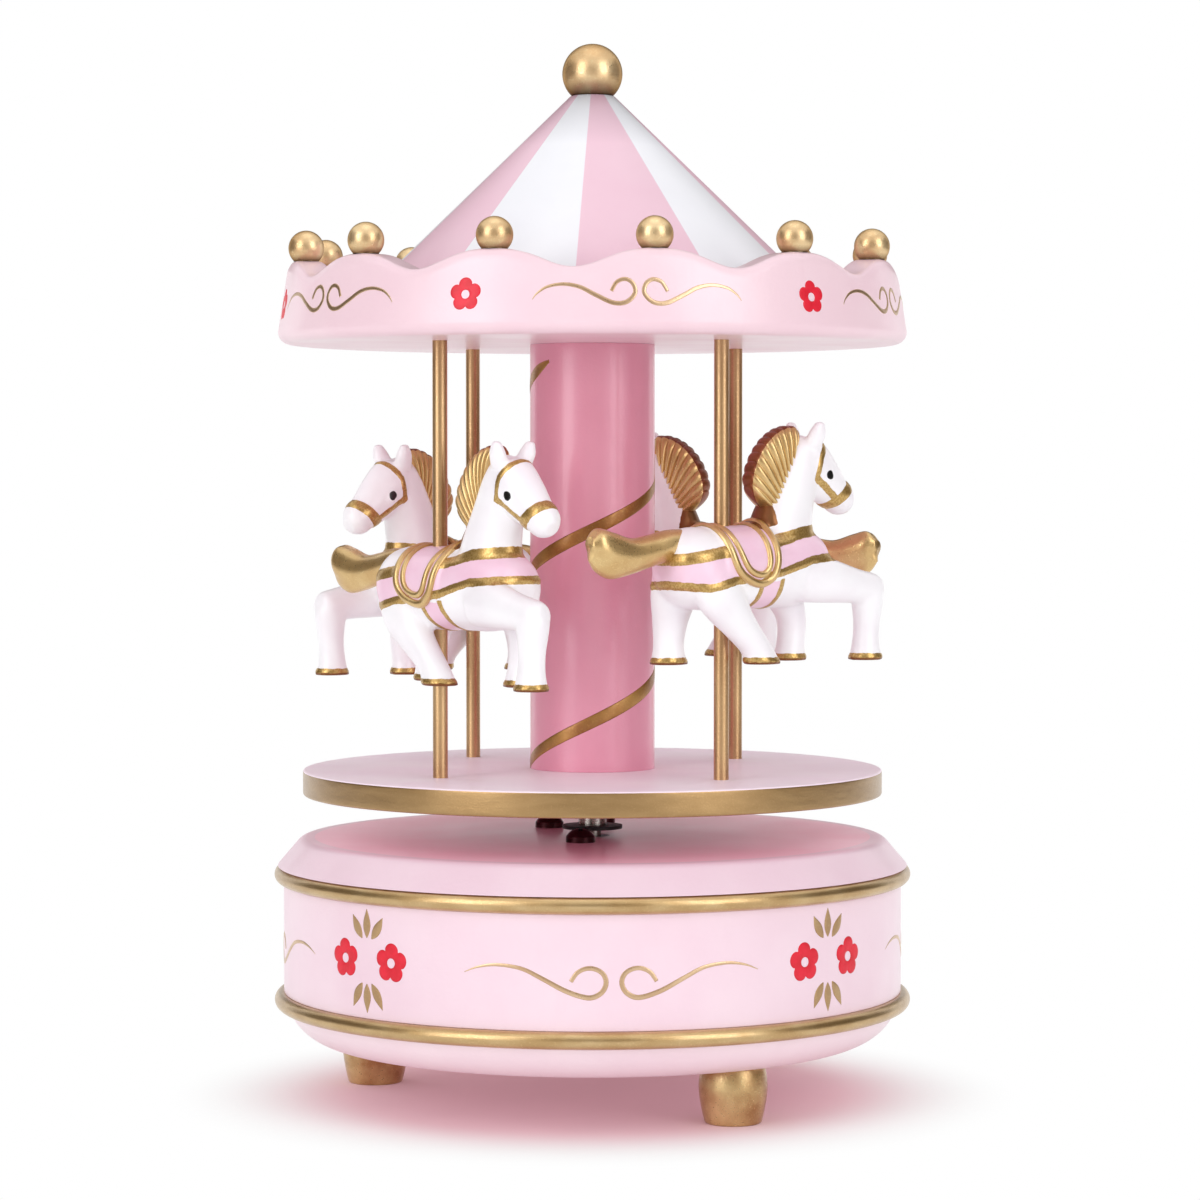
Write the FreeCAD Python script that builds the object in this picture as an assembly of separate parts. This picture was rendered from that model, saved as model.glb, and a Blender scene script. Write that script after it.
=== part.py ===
import FreeCAD, Part
import math
import os
from FreeCAD import Placement, Rotation, Vector

os.makedirs("parts", exist_ok=True)

# Carousel music box in mm. The origin is on the turning axis at table level, +Z is up and -Y is the front.

# Clearances
glue_fit = 0.05
running_fit = 0.05
screw_clearance = 0.2

# Base
foot_height = 9.4
foot_sole_r = 4.7
foot_belly_r = 5.7
foot_neck_r = 5.2
foot_angles = [-54.0, 55.0, 165.0]
tenon_r = 2.5
tenon_length = 3.0
bottom_height = 5.8
bottom_floor = 3.6
wall_r = 53.0
wall_thickness = 8.0
wall_height = 18.7
wall_inner_r = wall_r - wall_thickness
bottom_rim_r = wall_r - 0.7
bottom_flat_r = wall_r - 9.0
foot_circle_r = wall_r - 13.6
bead_height = 2.8
bead_seat_depth = 2.0
shoulder_foot_r = wall_r + 1.1
shoulder_top_r = shoulder_foot_r - 4.1
shoulder_height = 4.8
lid_spigot = 1.5
lid_hole_r = 3.0
post_r = 4.5
post_height = 15.0
post_circle_r = wall_inner_r - 4.0
post_angles = [-90.0, 15.0, 200.0]

# Carousel
gap_height = 7.3
turntable_r = 49.7
turntable_thickness = 4.3
column_r = 10.7
column_height = 72.7
collar_r = 2.4
collar_depth = 10.0
washer_r = 5.15
washer_thickness = 0.6
washer_lift = 1.2
pole_r = 1.25
pole_circle_r = 33.1
pole_angle = 40.2
pole_socket = 3.0
crown_low_r = 53.75
crown_top_r = crown_low_r - 1.85
crown_inner_r = crown_top_r - 5.4
crown_floor = 6.4
crown_height = 13.7
crown_edge = 2.0
scallop_depth = 3.0
lobes = 12
first_lobe = -90.0 + 11.7
ball_r = 3.0
ball_circle_r = crown_top_r - 2.6
ball_seat = 2.2
peg_r = 0.8
peg_length = 3.0
cone_base_r = 40.4
cone_top_r = 3.7
cone_height = 36.1
finial_r = 5.15
finial_seat = 3.75
dowel_r = 1.5
dowel_length = 6.0

# Movement
bed_thickness = 2.5
bed_left = -27.0
bed_right = 20.0
bed_front = -17.0
bed_back = wall_inner_r - 6.0
bed_corner_r = wall_inner_r - 2.0
housing_r = 12.5
housing_height = 8.5
housing_wall = 0.5
arbor_r = 1.5
spring_thickness = 0.3
spring_pitch = 1.4
spring_half_turns = 11
spring_first_r = 3.2
drive_module = 0.6
drive_teeth = 30
pinion_teeth = 12
drive_disc = 1.2
drive_gap = 0.4
cylinder_r = 6.0
cylinder_wall = 0.6
end_wall = 2.0
cylinder_length = wall_inner_r - 27.0
cylinder_start = 14.3
pin_height = 0.5
pin_width = 0.36
pin_count = 72
axle_r = 0.8
train_module = 0.45
train_teeth = 30
train_pinion_teeth = 10
worm_module = 0.4
worm_teeth = 24
worm_r = 1.3
comb_teeth = 18
comb_pitch = cylinder_length / comb_teeth
comb_slot = 0.25
comb_thickness = 0.8
comb_reach = 0.35
plate = 1.0
screw_positions = [(-2.0, -12.4), (-7.6, 14.7), (1.5, 24.0)]
screw_head_r = 2.5
screw_head_height = 2.4
screw_shank_r = 1.45

# Horse, in its own frame: u forward, v left, w up from the hooves, with the pole at u = v = 0
horse_yaw = [1.0, 0.0, 18.0, 3.0]
hoof_height = [71.8, 75.2, 74.0, 71.6]
leg_spread = 4.3

# Levels up the axis
z_bottom = foot_height
z_floor = z_bottom + bottom_floor
z_low_bead = z_bottom + bottom_height
z_wall = z_low_bead + bead_height
z_high_bead = z_wall + wall_height
z_lid = z_high_bead + bead_height
z_top = z_lid + shoulder_height
z_turntable = z_top + gap_height
z_deck = z_turntable + turntable_thickness
z_crown = z_deck + column_height
z_crown_floor = z_crown + crown_floor
z_crest = z_crown + crown_height
z_cone_top = z_crown_floor + cone_height
z_bed_top = z_lid - lid_spigot
z_bed = z_bed_top - bed_thickness
z_housing = z_bed - housing_height
z_drive = z_housing - drive_gap - drive_disc
drive_r = drive_module * drive_teeth / 2
pinion_r = drive_module * pinion_teeth / 2
z_axle = z_drive - 1.25 * drive_module - pinion_r


def save(name, shape):
    """Write one piece as parts/NAME.step."""
    shape.exportStep("parts/" + name + ".step")


def polar(radius, angle, z=0.0):
    """Point at a radius and an angle in degrees about the axis."""
    turn = math.radians(angle)
    return Vector(radius * math.cos(turn), radius * math.sin(turn), z)


def rod(radius, z_low, z_high, x=0.0, y=0.0):
    """Upright cylinder between two levels."""
    return Part.makeCylinder(radius, z_high - z_low, Vector(x, y, z_low))


def rod_along_y(radius, y_low, y_high, x, z):
    """Cylinder that lies along Y."""
    return Part.makeCylinder(radius, y_high - y_low, Vector(x, y_low, z), Vector(0, 1, 0))


def block(x_low, x_high, y_low, y_high, z_low, z_high):
    """Box between two corners."""
    size = Vector(x_high - x_low, y_high - y_low, z_high - z_low)
    return Part.makeBox(size.x, size.y, size.z, Vector(x_low, y_low, z_low))


def turned(start, steps):
    """Solid turned about Z. A step is the next (r, z), or an arc as (through r, through z, r, z)."""
    edges = []
    first = Vector(start[0], 0, start[1])
    here = first
    for step in steps:
        there = Vector(step[-2], 0, step[-1])
        if len(step) == 4:
            edges.append(Part.Arc(here, Vector(step[0], 0, step[1]), there).toShape())
        else:
            edges.append(Part.makeLine(here, there))
        here = there
    edges.append(Part.makeLine(here, first))
    face = Part.Face(Part.Wire(edges))
    return face.revolve(Vector(0, 0, 0), Vector(0, 0, 1), 360)


def domed(radius, z_low, z_high):
    """Arc step from (radius, z_low) up to the axis at z_high, on a sphere about the axis."""
    rise = z_high - z_low
    sphere_r = (radius * radius + rise * rise) / (2 * rise)
    half = math.asin(radius / sphere_r) / 2
    return (sphere_r * math.sin(half), z_high - sphere_r * (1 - math.cos(half)), 0, z_high)


def moved(shape, x, y, z, turn=0.0):
    """Copy of a shape, turned about Z and then shifted."""
    copy = shape.copy()
    copy.Placement = Placement(Vector(x, y, z), Rotation(Vector(0, 0, 1), turn))
    return copy


def laid(shape, x, y, z):
    """Copy of a shape with its Z axis laid along +Y, then shifted."""
    copy = shape.copy()
    copy.Placement = Placement(Vector(x, y, z), Rotation(Vector(1, 0, 0), -90))
    return copy


def spur(module, teeth, width, offset):
    """Gear about Z with radial flanks and eased tips. The offset is in tooth pitches from +X."""
    pitch_r = module * teeth / 2
    pitch_half = 0.2 * math.pi * module / pitch_r
    tip_r = pitch_r + 0.8 * module
    tip_half = 0.25 * module / tip_r
    root_r = pitch_r - 1.2 * module
    points = []
    for tooth in range(teeth):
        middle = 2 * math.pi * (tooth + offset) / teeth
        for radius, half in [(root_r, -pitch_half), (pitch_r, -pitch_half), (tip_r, -tip_half),
                             (tip_r, tip_half), (pitch_r, pitch_half), (root_r, pitch_half)]:
            turn = middle + half
            points.append(Vector(radius * math.cos(turn), radius * math.sin(turn), 0))
    points.append(points[0])
    return Part.Face(Part.makePolygon(points)).extrude(Vector(0, 0, width))


# Feet: turned barrels with a tenon glued into the bottom board
foot_places = [polar(foot_circle_r, angle) for angle in foot_angles]
tenon_top = foot_height + tenon_length
foot = turned((0, 0), [(foot_sole_r, 0), (foot_belly_r, 0.6 * foot_height, foot_neck_r, foot_height),
                       (tenon_r, foot_height), (tenon_r, tenon_top), (0, tenon_top)])
for number, place in enumerate(foot_places):
    save("foot_%d" % (number + 1), moved(foot, place.x, place.y, 0))

# Bottom board: rounded edge, shallow pan and pads for its screws
edge_run = bottom_rim_r - bottom_flat_r
edge_r = (edge_run * edge_run + bottom_height * bottom_height) / (2 * bottom_height)
edge_half = math.asin(edge_run / edge_r) / 2
bottom = turned((0, z_bottom), [
    (bottom_flat_r, z_bottom),
    (bottom_flat_r + edge_r * math.sin(edge_half), z_bottom + edge_r * (1 - math.cos(edge_half)),
     bottom_rim_r, z_low_bead),
    (wall_inner_r, z_low_bead), (wall_inner_r, z_floor), (0, z_floor)])
bottom_screw_r = 1.25
bottom_head_r = 2.4
bottom_screw_top = z_low_bead + 8.0
bottom_screw = turned((0, z_bottom), [(bottom_head_r, z_bottom), (bottom_screw_r, z_bottom + 1.8),
                                      (bottom_screw_r, bottom_screw_top), (0, bottom_screw_top)])
post_places = [polar(post_circle_r, angle) for angle in post_angles]
for place in foot_places:
    bottom = bottom.cut(rod(tenon_r + glue_fit, z_bottom, tenon_top, place.x, place.y))
for place in post_places:
    bottom = bottom.fuse(rod(post_r, z_floor, z_low_bead, place.x, place.y))
bottom = bottom.removeSplitter()
for number, place in enumerate(post_places):
    screw = moved(bottom_screw, place.x, place.y, 0)
    bottom = bottom.cut(screw)
    slot = block(place.x - 3, place.x + 3, place.y - 0.3, place.y + 0.3, z_bottom, z_bottom + 0.6)
    save("bottom_screw_%d" % (number + 1), screw.cut(slot))
save("bottom_board", bottom)

# Drum wall: a tube rebated at both ends for the bead rings, with posts inside for the bottom screws
bead_seat_r = wall_r - bead_seat_depth
wall = turned((wall_inner_r, z_low_bead), [
    (bead_seat_r, z_low_bead), (bead_seat_r, z_wall), (wall_r, z_wall), (wall_r, z_high_bead),
    (bead_seat_r, z_high_bead), (bead_seat_r, z_lid), (wall_inner_r, z_lid)])
for place in post_places:
    wall = wall.fuse(rod(post_r, z_low_bead, z_low_bead + post_height, place.x, place.y))
for place in post_places:
    wall = wall.cut(rod(bottom_screw_r, z_low_bead, bottom_screw_top, place.x, place.y))
save("drum_wall", wall)

# Bead rings: half-round mouldings in the two rebates
bead_r = bead_height / 2
bead_root_r = wall_r + 0.2
for name, level in [("lower_bead", z_low_bead), ("upper_bead", z_high_bead)]:
    save(name, turned((bead_seat_r, level), [
        (bead_root_r, level), (bead_root_r + bead_r, level + bead_r, bead_root_r, level + bead_height),
        (bead_seat_r, level + bead_height)]))

# Drum top: sloped shoulder, spigot into the wall, hole for the arbor
slope = (shoulder_foot_r - shoulder_top_r) / shoulder_height
lid = turned((lid_hole_r, z_bed_top), [
    (wall_inner_r - glue_fit, z_bed_top), (wall_inner_r - glue_fit, z_lid), (shoulder_foot_r, z_lid),
    (shoulder_top_r + 0.7 * slope, z_top - 0.7),
    (shoulder_top_r + 0.05, z_top - 0.2, shoulder_top_r - 0.7, z_top), (lid_hole_r, z_top)])
for x, y in screw_positions:
    lid = lid.cut(rod(screw_shank_r + screw_clearance, z_bed_top, z_top, x, y))
save("drum_top", lid)

# Movement screws: round heads with a cross recess, through the drum top into the bedplate
head_top = z_top + screw_head_height
screw_tip = z_bed + 0.3
movement_screw = turned((0, screw_tip), [
    (screw_shank_r, screw_tip), (screw_shank_r, z_top), (screw_head_r, z_top),
    (screw_head_r, z_top + 0.4 * screw_head_height), domed(screw_head_r, z_top + 0.4 * screw_head_height, head_top)])
recess = 0.35 * screw_head_height
for arm in [(1.4, 0.3), (0.3, 1.4)]:
    movement_screw = movement_screw.cut(block(-arm[0], arm[0], -arm[1], arm[1], head_top - recess, head_top))
for number, (x, y) in enumerate(screw_positions):
    save("movement_screw_%d" % (number + 1), moved(movement_screw, x, y, 0, 25.0 * number))

# Places along the gear train, which lies behind the arbor along +Y
pinion_width = 1.6
pinion_start = drive_r - pinion_width / 2
cylinder_end = cylinder_start + cylinder_length
train_start = cylinder_end + 0.4
train_width = 1.4
train_r = train_module * train_teeth / 2
train_pinion_r = train_module * train_pinion_teeth / 2
x_governor = train_r + train_pinion_r + 0.08
wheel_width = 0.8
y_worm = train_start + train_width + 1.6
wheel_r = worm_module * worm_teeth / 2
x_worm = x_governor + wheel_r + worm_r + 0.08
bracket_start = y_worm + 1.6
bracket_end = bracket_start + plate
z_comb = z_axle + comb_thickness / 2
plinth_right = -19.0
comb_start = cylinder_start + 0.5

# Bedplate: die-cast plate under the drum top, with a plinth that carries the comb
bed = block(bed_left, bed_right, bed_front, bed_back, z_bed, z_bed_top).common(
    rod(bed_corner_r, z_bed, z_bed_top))
plinth = block(bed_left + 1, plinth_right, comb_start - 0.5, comb_start + comb_teeth * comb_pitch - 0.5,
               z_comb, z_bed)
bed = bed.fuse(plinth).removeSplitter()
bed = bed.cut(rod(arbor_r + running_fit, z_bed, z_bed_top))
for x, y in screw_positions:
    bed = bed.cut(rod(screw_shank_r, screw_tip, z_bed_top, x, y))
pivot_r = 0.5
fly_top = z_bed + 1.2
bed = bed.cut(rod(pivot_r + running_fit, z_bed, fly_top + 0.3, x_worm, y_worm))

# Comb: spring-steel plate with teeth of graded length, held up under the plinth by two screws
comb_tip = -(cylinder_r + pin_height + comb_reach)
comb_back = bed_left + 2.0
comb_width = comb_teeth * comb_pitch
comb = block(comb_back, comb_tip, comb_start - 0.5, comb_start - 0.5 + comb_width,
             z_comb - comb_thickness, z_comb)
for gap in range(1, comb_teeth):
    root = plinth_right + 1.5 + 4.0 * gap / comb_teeth
    y_gap = comb_start - 0.5 + gap * comb_pitch
    comb = comb.cut(block(root, comb_tip, y_gap - comb_slot / 2, y_gap + comb_slot / 2,
                          z_comb - comb_thickness, z_comb))
comb_screw_x = (comb_back + plinth_right) / 2
comb_screw_r = 0.9
comb_low = z_comb - comb_thickness
comb_screw = turned((0, comb_low - 1.2), [(1.8, comb_low - 1.2), (1.8, comb_low), (comb_screw_r, comb_low),
                                          (comb_screw_r, z_comb + 5), (0, z_comb + 5)])
comb_screw = comb_screw.cut(block(-2, 2, -0.2, 0.2, comb_low - 1.2, comb_low - 0.7))
for number, share in enumerate([0.25, 0.75]):
    y_screw = comb_start - 0.5 + share * comb_width
    comb = comb.cut(rod(comb_screw_r, comb_low, z_comb, comb_screw_x, y_screw))
    bed = bed.cut(rod(comb_screw_r, z_comb, z_comb + 5, comb_screw_x, y_screw))
    save("comb_screw_%d" % (number + 1), moved(comb_screw, comb_screw_x, y_screw, 0))
save("comb", comb)
save("bedplate", bed)

# Spring housing: pressed can that hangs under the bedplate around the arbor
save("spring_housing", turned((arbor_r + running_fit, z_housing), [
    (housing_r, z_housing), (housing_r, z_bed), (housing_r - housing_wall, z_bed),
    (housing_r - housing_wall, z_housing + housing_wall), (arbor_r + running_fit, z_housing + housing_wall)]))

# Mainspring: a strip wound in half circles about two centres
spring_low = z_housing + housing_wall + 0.5
spring_high = z_bed - 0.5
step = spring_pitch / 2


def spiral_side(shift):
    """Half circles of one side of the strip, and its two ends."""
    arcs = []
    for half in range(spring_half_turns):
        radius = spring_first_r + half * step + shift
        middle = step if half % 2 else 0.0
        side = -1 if half % 2 else 1
        a = Vector(middle + side * radius, 0, spring_low)
        b = Vector(middle, side * radius, spring_low)
        c = Vector(middle - side * radius, 0, spring_low)
        arcs.append(Part.Arc(a, b, c).toShape())
        if half == 0:
            first = a
    return arcs, first, c


inner_side, inner_first, inner_last = spiral_side(-spring_thickness / 2)
outer_side, outer_first, outer_last = spiral_side(spring_thickness / 2)
strip = Part.Wire(Part.__sortEdges__(inner_side + outer_side + [
    Part.makeLine(inner_first, outer_first), Part.makeLine(inner_last, outer_last)]))
save("mainspring", Part.Face(strip).extrude(Vector(0, 0, spring_high - spring_low)))

# Winding arbor, which is also the shaft that turns the carousel
arbor_low = z_drive - 2.4
arbor_high = z_deck + 3.0
save("winding_arbor", rod(arbor_r, arbor_low, arbor_high))

# Drive wheel: a contrate wheel on the arbor, with its teeth pointing down
drive = rod(drive_r + 1.0, z_drive, z_drive + drive_disc)
drive = drive.fuse(rod(3.5, z_drive - 1.8, z_drive))
tooth_root = 0.66 * drive_module
tooth_pitch = 0.2 * math.pi * drive_module
tooth_tip = 0.25 * drive_module
z_pitch = z_axle + pinion_r
z_tip = z_pitch - 0.8 * drive_module
teeth = []
for tooth in range(drive_teeth):
    section = [(-tooth_root, z_drive), (-tooth_pitch, z_pitch), (-tooth_tip, z_tip),
               (tooth_tip, z_tip), (tooth_pitch, z_pitch), (tooth_root, z_drive)]
    points = [Vector(drive_r - 1.0, t, z) for t, z in section]
    points.append(points[0])
    shape = Part.Face(Part.makePolygon(points)).extrude(Vector(2.0, 0, 0))
    teeth.append(moved(shape, 0, 0, 0, 90 + (tooth + 0.5) * 360 / drive_teeth))
drive = drive.multiFuse(teeth).cut(rod(arbor_r, z_drive - 2, z_drive + drive_disc))
save("drive_wheel", drive)

# Pin cylinder: brass tube with pins and an end wall, a pinion on its axle and a gear plugged in its outer end
plug_r = cylinder_r - cylinder_wall
tube = rod(cylinder_r, 0, cylinder_length).cut(rod(plug_r, end_wall, cylinder_length))
tube = tube.cut(rod(axle_r, 0, end_wall))
pins = []
for pin in range(pin_count):
    track = (5 * pin) % comb_teeth
    along = 0.5 + track * comb_pitch
    peg = block(cylinder_r - 0.4, cylinder_r + pin_height, -pin_width / 2, pin_width / 2,
                along - pin_width / 2, along + pin_width / 2)
    pins.append(moved(peg, 0, 0, 0, 137.5 * pin))
save("pin_cylinder", laid(tube.multiFuse(pins), 0, cylinder_start, z_axle))
pinion = spur(drive_module, pinion_teeth, pinion_width, -0.25 * pinion_teeth)
pinion = pinion.cut(rod(axle_r, 0, pinion_width))
save("cylinder_pinion", laid(pinion, 0, pinion_start, z_axle))
gear = spur(train_module, train_teeth, train_width, 0.0)
gear = gear.fuse(rod(plug_r, -(train_start - cylinder_end) - 2.0, 0)).removeSplitter()
gear = gear.cut(rod(axle_r, -4, train_width))
save("cylinder_gear", laid(gear, 0, train_start, z_axle))
save("cylinder_axle", rod_along_y(axle_r, pinion_start, bracket_end + 0.4, 0, z_axle))

# Bearing bracket for the cylinder's inner end
bracket_y = housing_r + 0.3
bracket = block(-3.5, 3.5, bracket_y, bracket_y + plate, z_axle, z_bed)
bracket = bracket.fuse(rod_along_y(3.5, bracket_y, bracket_y + plate, 0, z_axle))
bracket = bracket.fuse(block(-3.5, 3.5, bracket_y, bracket_y + 5.0, z_bed - plate, z_bed)).removeSplitter()
bracket = bracket.cut(rod_along_y(axle_r + running_fit, bracket_y, bracket_y + plate, 0, z_axle))
save("cylinder_bracket", bracket)

# Governor frame: outer bearing plate, inner lug, top web and a shelf under the vane shaft
governor_r = 0.6
lug_start = train_start - 2.6
lug_left = x_governor - 1.8
lug_right = x_governor + 1.8
shelf_top = z_floor + 1.6
shelf_low = z_floor + 0.6
frame = block(-3.5, lug_right, bracket_start, bracket_end, z_axle - 3.5, z_bed)
frame = frame.fuse(block(lug_left, lug_right, lug_start, bracket_end, z_bed - plate, z_bed))
frame = frame.fuse(block(lug_left, lug_right, lug_start, lug_start + plate, z_axle - 2.5, z_bed))
frame = frame.fuse(block(lug_left, x_worm + 2, bracket_start, bracket_end, shelf_low, z_axle - 3.5))
frame = frame.fuse(block(x_worm - 2, x_worm + 2, y_worm - 2, bracket_end, shelf_low, shelf_top))
frame = frame.removeSplitter()
frame = frame.cut(rod_along_y(axle_r + running_fit, bracket_start, bracket_end, 0, z_axle))
frame = frame.cut(rod_along_y(governor_r + running_fit, lug_start, bracket_end, x_governor, z_axle))
frame = frame.cut(rod(pivot_r + running_fit, shelf_low, shelf_top, x_worm, y_worm))
save("governor_frame", frame)

# Governor wheel: pinion and worm wheel moulded in one, on a steel arbor
wheel = spur(worm_module, worm_teeth, wheel_width, 0.5)
stem_start = train_start - 0.2 - (y_worm - wheel_width / 2)
wheel = wheel.fuse(rod(1.4, stem_start, 0))
stem = spur(train_module, train_pinion_teeth, train_width + 0.4, 0.5 * train_pinion_teeth + 0.5)
wheel = wheel.fuse(moved(stem, 0, 0, stem_start)).removeSplitter()
wheel = wheel.cut(rod(governor_r, stem_start, wheel_width))
save("governor_wheel", laid(wheel, x_governor, y_worm - wheel_width / 2, z_axle))
save("governor_arbor", rod_along_y(governor_r, lug_start - 0.3, bracket_end + 0.3, x_governor, z_axle))

# Vane shaft: single-start worm that the wheel drives, with a pivot at each end
worm_pitch = math.pi * worm_module
worm_turns = 4
thread_low = z_axle - worm_turns * worm_pitch / 2
core_r = worm_r - 1.1 * worm_module
crest_r = worm_r + 0.75 * worm_module
helix = Part.makeHelix(worm_pitch, worm_turns * worm_pitch, core_r)
root_half = 0.26 * worm_pitch
crest_half = 0.09 * worm_pitch
corners = [(core_r - 0.15, -root_half), (crest_r, -crest_half), (crest_r, crest_half), (core_r - 0.15, root_half)]
points = [Vector(r, 0, z) for r, z in corners]
points.append(points[0])
thread = Part.Wire(helix).makePipeShell([Part.makePolygon(points)], True, True)
thread = moved(thread, x_worm, y_worm, thread_low, 180)
shaft = rod(core_r, shelf_top + 0.3, z_bed - 0.4, x_worm, y_worm)
shaft = shaft.fuse(thread)
shaft = shaft.fuse(rod(pivot_r, shelf_low + 0.2, fly_top, x_worm, y_worm))
save("vane_shaft", shaft)

# Vane: two flat blades on a hub pressed on the shaft, which brake the train in the air
vane_low = z_axle + 4.6
vane_high = z_bed - 1.2
vane = rod(1.5, vane_low, vane_high, x_worm, y_worm)
vane = vane.fuse(block(x_worm - 0.3, x_worm + 0.3, y_worm - 3.0, y_worm + 3.0, vane_low, vane_high))
vane = vane.cut(rod(core_r, vane_low, vane_high, x_worm, y_worm))
save("vane", vane)

# Hub on the arbor: black washer and steel collar that carries the turntable
washer_low = z_top + washer_lift
washer_high = washer_low + washer_thickness
save("hub_washer", rod(washer_r, washer_low, washer_high).cut(rod(arbor_r, washer_low, washer_high)))
collar_high = z_deck + collar_depth - turntable_thickness
collar = rod(collar_r, washer_high, collar_high).cut(rod(arbor_r, washer_high, arbor_high))
save("hub_collar", collar)

# Turntable: disc with eased edges and sockets for the poles, held between the collar's thread and the column
ease = 0.5
turntable = turned((collar_r, z_turntable), [
    (turntable_r - ease, z_turntable),
    (turntable_r - 0.15, z_turntable + 0.15, turntable_r, z_turntable + ease),
    (turntable_r, z_deck - ease), (turntable_r - 0.15, z_deck - 0.15, turntable_r - ease, z_deck),
    (collar_r, z_deck)])
pole_places = [polar(pole_circle_r, pole_angle + 180 + 90 * k) for k in range(4)]
for place in pole_places:
    turntable = turntable.cut(rod(pole_r + glue_fit, z_deck - pole_socket, z_deck, place.x, place.y))
column = rod(column_r, z_deck, z_crown).cut(rod(collar_r, z_deck, collar_high))
save("turntable", turntable)

# Canopy screw: down through the canopy floor into the column, under the roof
canopy_screw_low = z_crown - 14.0
canopy_screw = turned((0, canopy_screw_low), [
    (0.2, canopy_screw_low), (1.8, canopy_screw_low + 3), (1.8, z_crown_floor), (4.0, z_crown_floor),
    (4.0, z_crown_floor + 1.2), domed(4.0, z_crown_floor + 1.2, z_crown_floor + 2.8)])
canopy_screw = canopy_screw.cut(block(-3, 3, -0.5, 0.5, z_crown_floor + 1.6, z_crown_floor + 2.8))
column = column.cut(rod(1.8, canopy_screw_low, z_crown))
save("column", column)
save("canopy_screw", canopy_screw)

# Canopy crown: turned tray whose wall is cut into lobes by a wavy top
lean = (crown_low_r - crown_top_r) / (crown_height - crown_edge)
crown = turned((0, z_crown), [
    (crown_low_r - crown_edge, z_crown),
    (crown_low_r - 0.3 * crown_edge, z_crown + 0.3 * crown_edge, crown_low_r, z_crown + crown_edge),
    (crown_top_r, z_crest), (crown_inner_r, z_crest), (crown_inner_r, z_crown_floor), (0, z_crown_floor)])


def wave(radius):
    """Closed curve at one radius that dips between the lobes and lies nearly flat on each."""
    points = []
    steps = 12 * lobes
    for k in range(steps):
        turn = 2 * math.pi * k / steps
        swing = math.cos(lobes * turn)
        dip = scallop_depth * (1 - 0.5 * (1 + swing) * (1.3 - 0.3 * swing))
        place = polar(radius, first_lobe + math.degrees(turn))
        points.append(Vector(place.x, place.y, z_crest - dip))
    curve = Part.BSplineCurve()
    curve.interpolate(points, PeriodicFlag=True)
    return curve.toShape()


wavy_in = wave(crown_inner_r - 3)
wavy_out = wave(crown_low_r + 3)
raised = 6.0
cap_low = Part.makeRuledSurface(wavy_in, wavy_out)
cap_high = cap_low.copy()
cap_high.translate(Vector(0, 0, raised))
cap_in = wavy_in.extrude(Vector(0, 0, raised))
cap_out = wavy_out.extrude(Vector(0, 0, raised))
shell = Part.makeShell(cap_low.Faces + cap_high.Faces + cap_in.Faces + cap_out.Faces)
shell.sewShape()
cap = Part.Solid(shell)
if cap.Volume < 0:
    cap.reverse()
crown = crown.cut(cap)
crown = crown.cut(rod(1.8 + screw_clearance, z_crown, z_crown_floor))
for place in pole_places:
    crown = crown.cut(rod(pole_r + glue_fit, z_crown, z_crown + pole_socket, place.x, place.y))

# Balls: one pegged on each crest
ball_height = z_crest + ball_seat
ball = Part.makeSphere(ball_r, Vector(0, 0, ball_height))
ball = ball.cut(block(-9, 9, -9, 9, z_crest - 9, z_crest))
ball = ball.fuse(rod(peg_r, z_crest - peg_length, z_crest + 0.5))
for number in range(lobes):
    place = polar(ball_circle_r, first_lobe + number * 360 / lobes)
    crown = crown.cut(rod(peg_r + glue_fit, z_crest - peg_length, z_crest + 1, place.x, place.y))
    save("ball_%02d" % (number + 1), moved(ball, place.x, place.y, 0))
save("canopy_crown", crown)

# Roof cone, hollowed a little over the screw, with a dowel hole for the finial
roof = turned((0, z_crown_floor), [
    (cone_base_r - 0.5, z_crown_floor), (cone_base_r, z_crown_floor + 0.5), (cone_top_r, z_cone_top),
    (0, z_cone_top)])
roof = roof.cut(rod(5.5, z_crown_floor, z_crown_floor + 4.5))
roof = roof.cut(rod(dowel_r + glue_fit, z_cone_top - dowel_length, z_cone_top))
save("roof_cone", roof)
finial_height = z_cone_top + finial_seat
finial = Part.makeSphere(finial_r, Vector(0, 0, finial_height))
finial = finial.cut(block(-9, 9, -9, 9, z_cone_top - 9, z_cone_top))
finial = finial.fuse(rod(dowel_r, z_cone_top - dowel_length, z_cone_top + 0.5))
save("finial_ball", finial)

# Poles
for number, place in enumerate(pole_places):
    save("pole_%d" % (number + 1), rod(pole_r, z_deck - pole_socket, z_crown + pole_socket, place.x, place.y))


def ring(u, v, w, lean_angle, half_height, half_width):
    """Oval section across a limb that runs at lean_angle degrees above the u axis."""
    lean_turn = math.radians(lean_angle)
    points = []
    for k in range(8):
        turn = 2 * math.pi * k / 8
        rise = half_height * math.sin(turn)
        points.append(Vector(u - rise * math.sin(lean_turn), v + half_width * math.cos(turn),
                             w + rise * math.cos(lean_turn)))
    curve = Part.BSplineCurve()
    curve.interpolate(points, PeriodicFlag=True)
    return Part.Wire([curve.toShape()])


def limb(sections):
    """Smooth solid through oval sections given as (u, v, w, lean, half height, half width)."""
    return Part.makeLoft([ring(*section) for section in sections], True, False)


def joined(pieces):
    """One solid from pieces that overlap, added one at a time."""
    whole = pieces[0]
    for piece in pieces[1:]:
        whole = whole.fuse(piece)
    return whole


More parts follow.
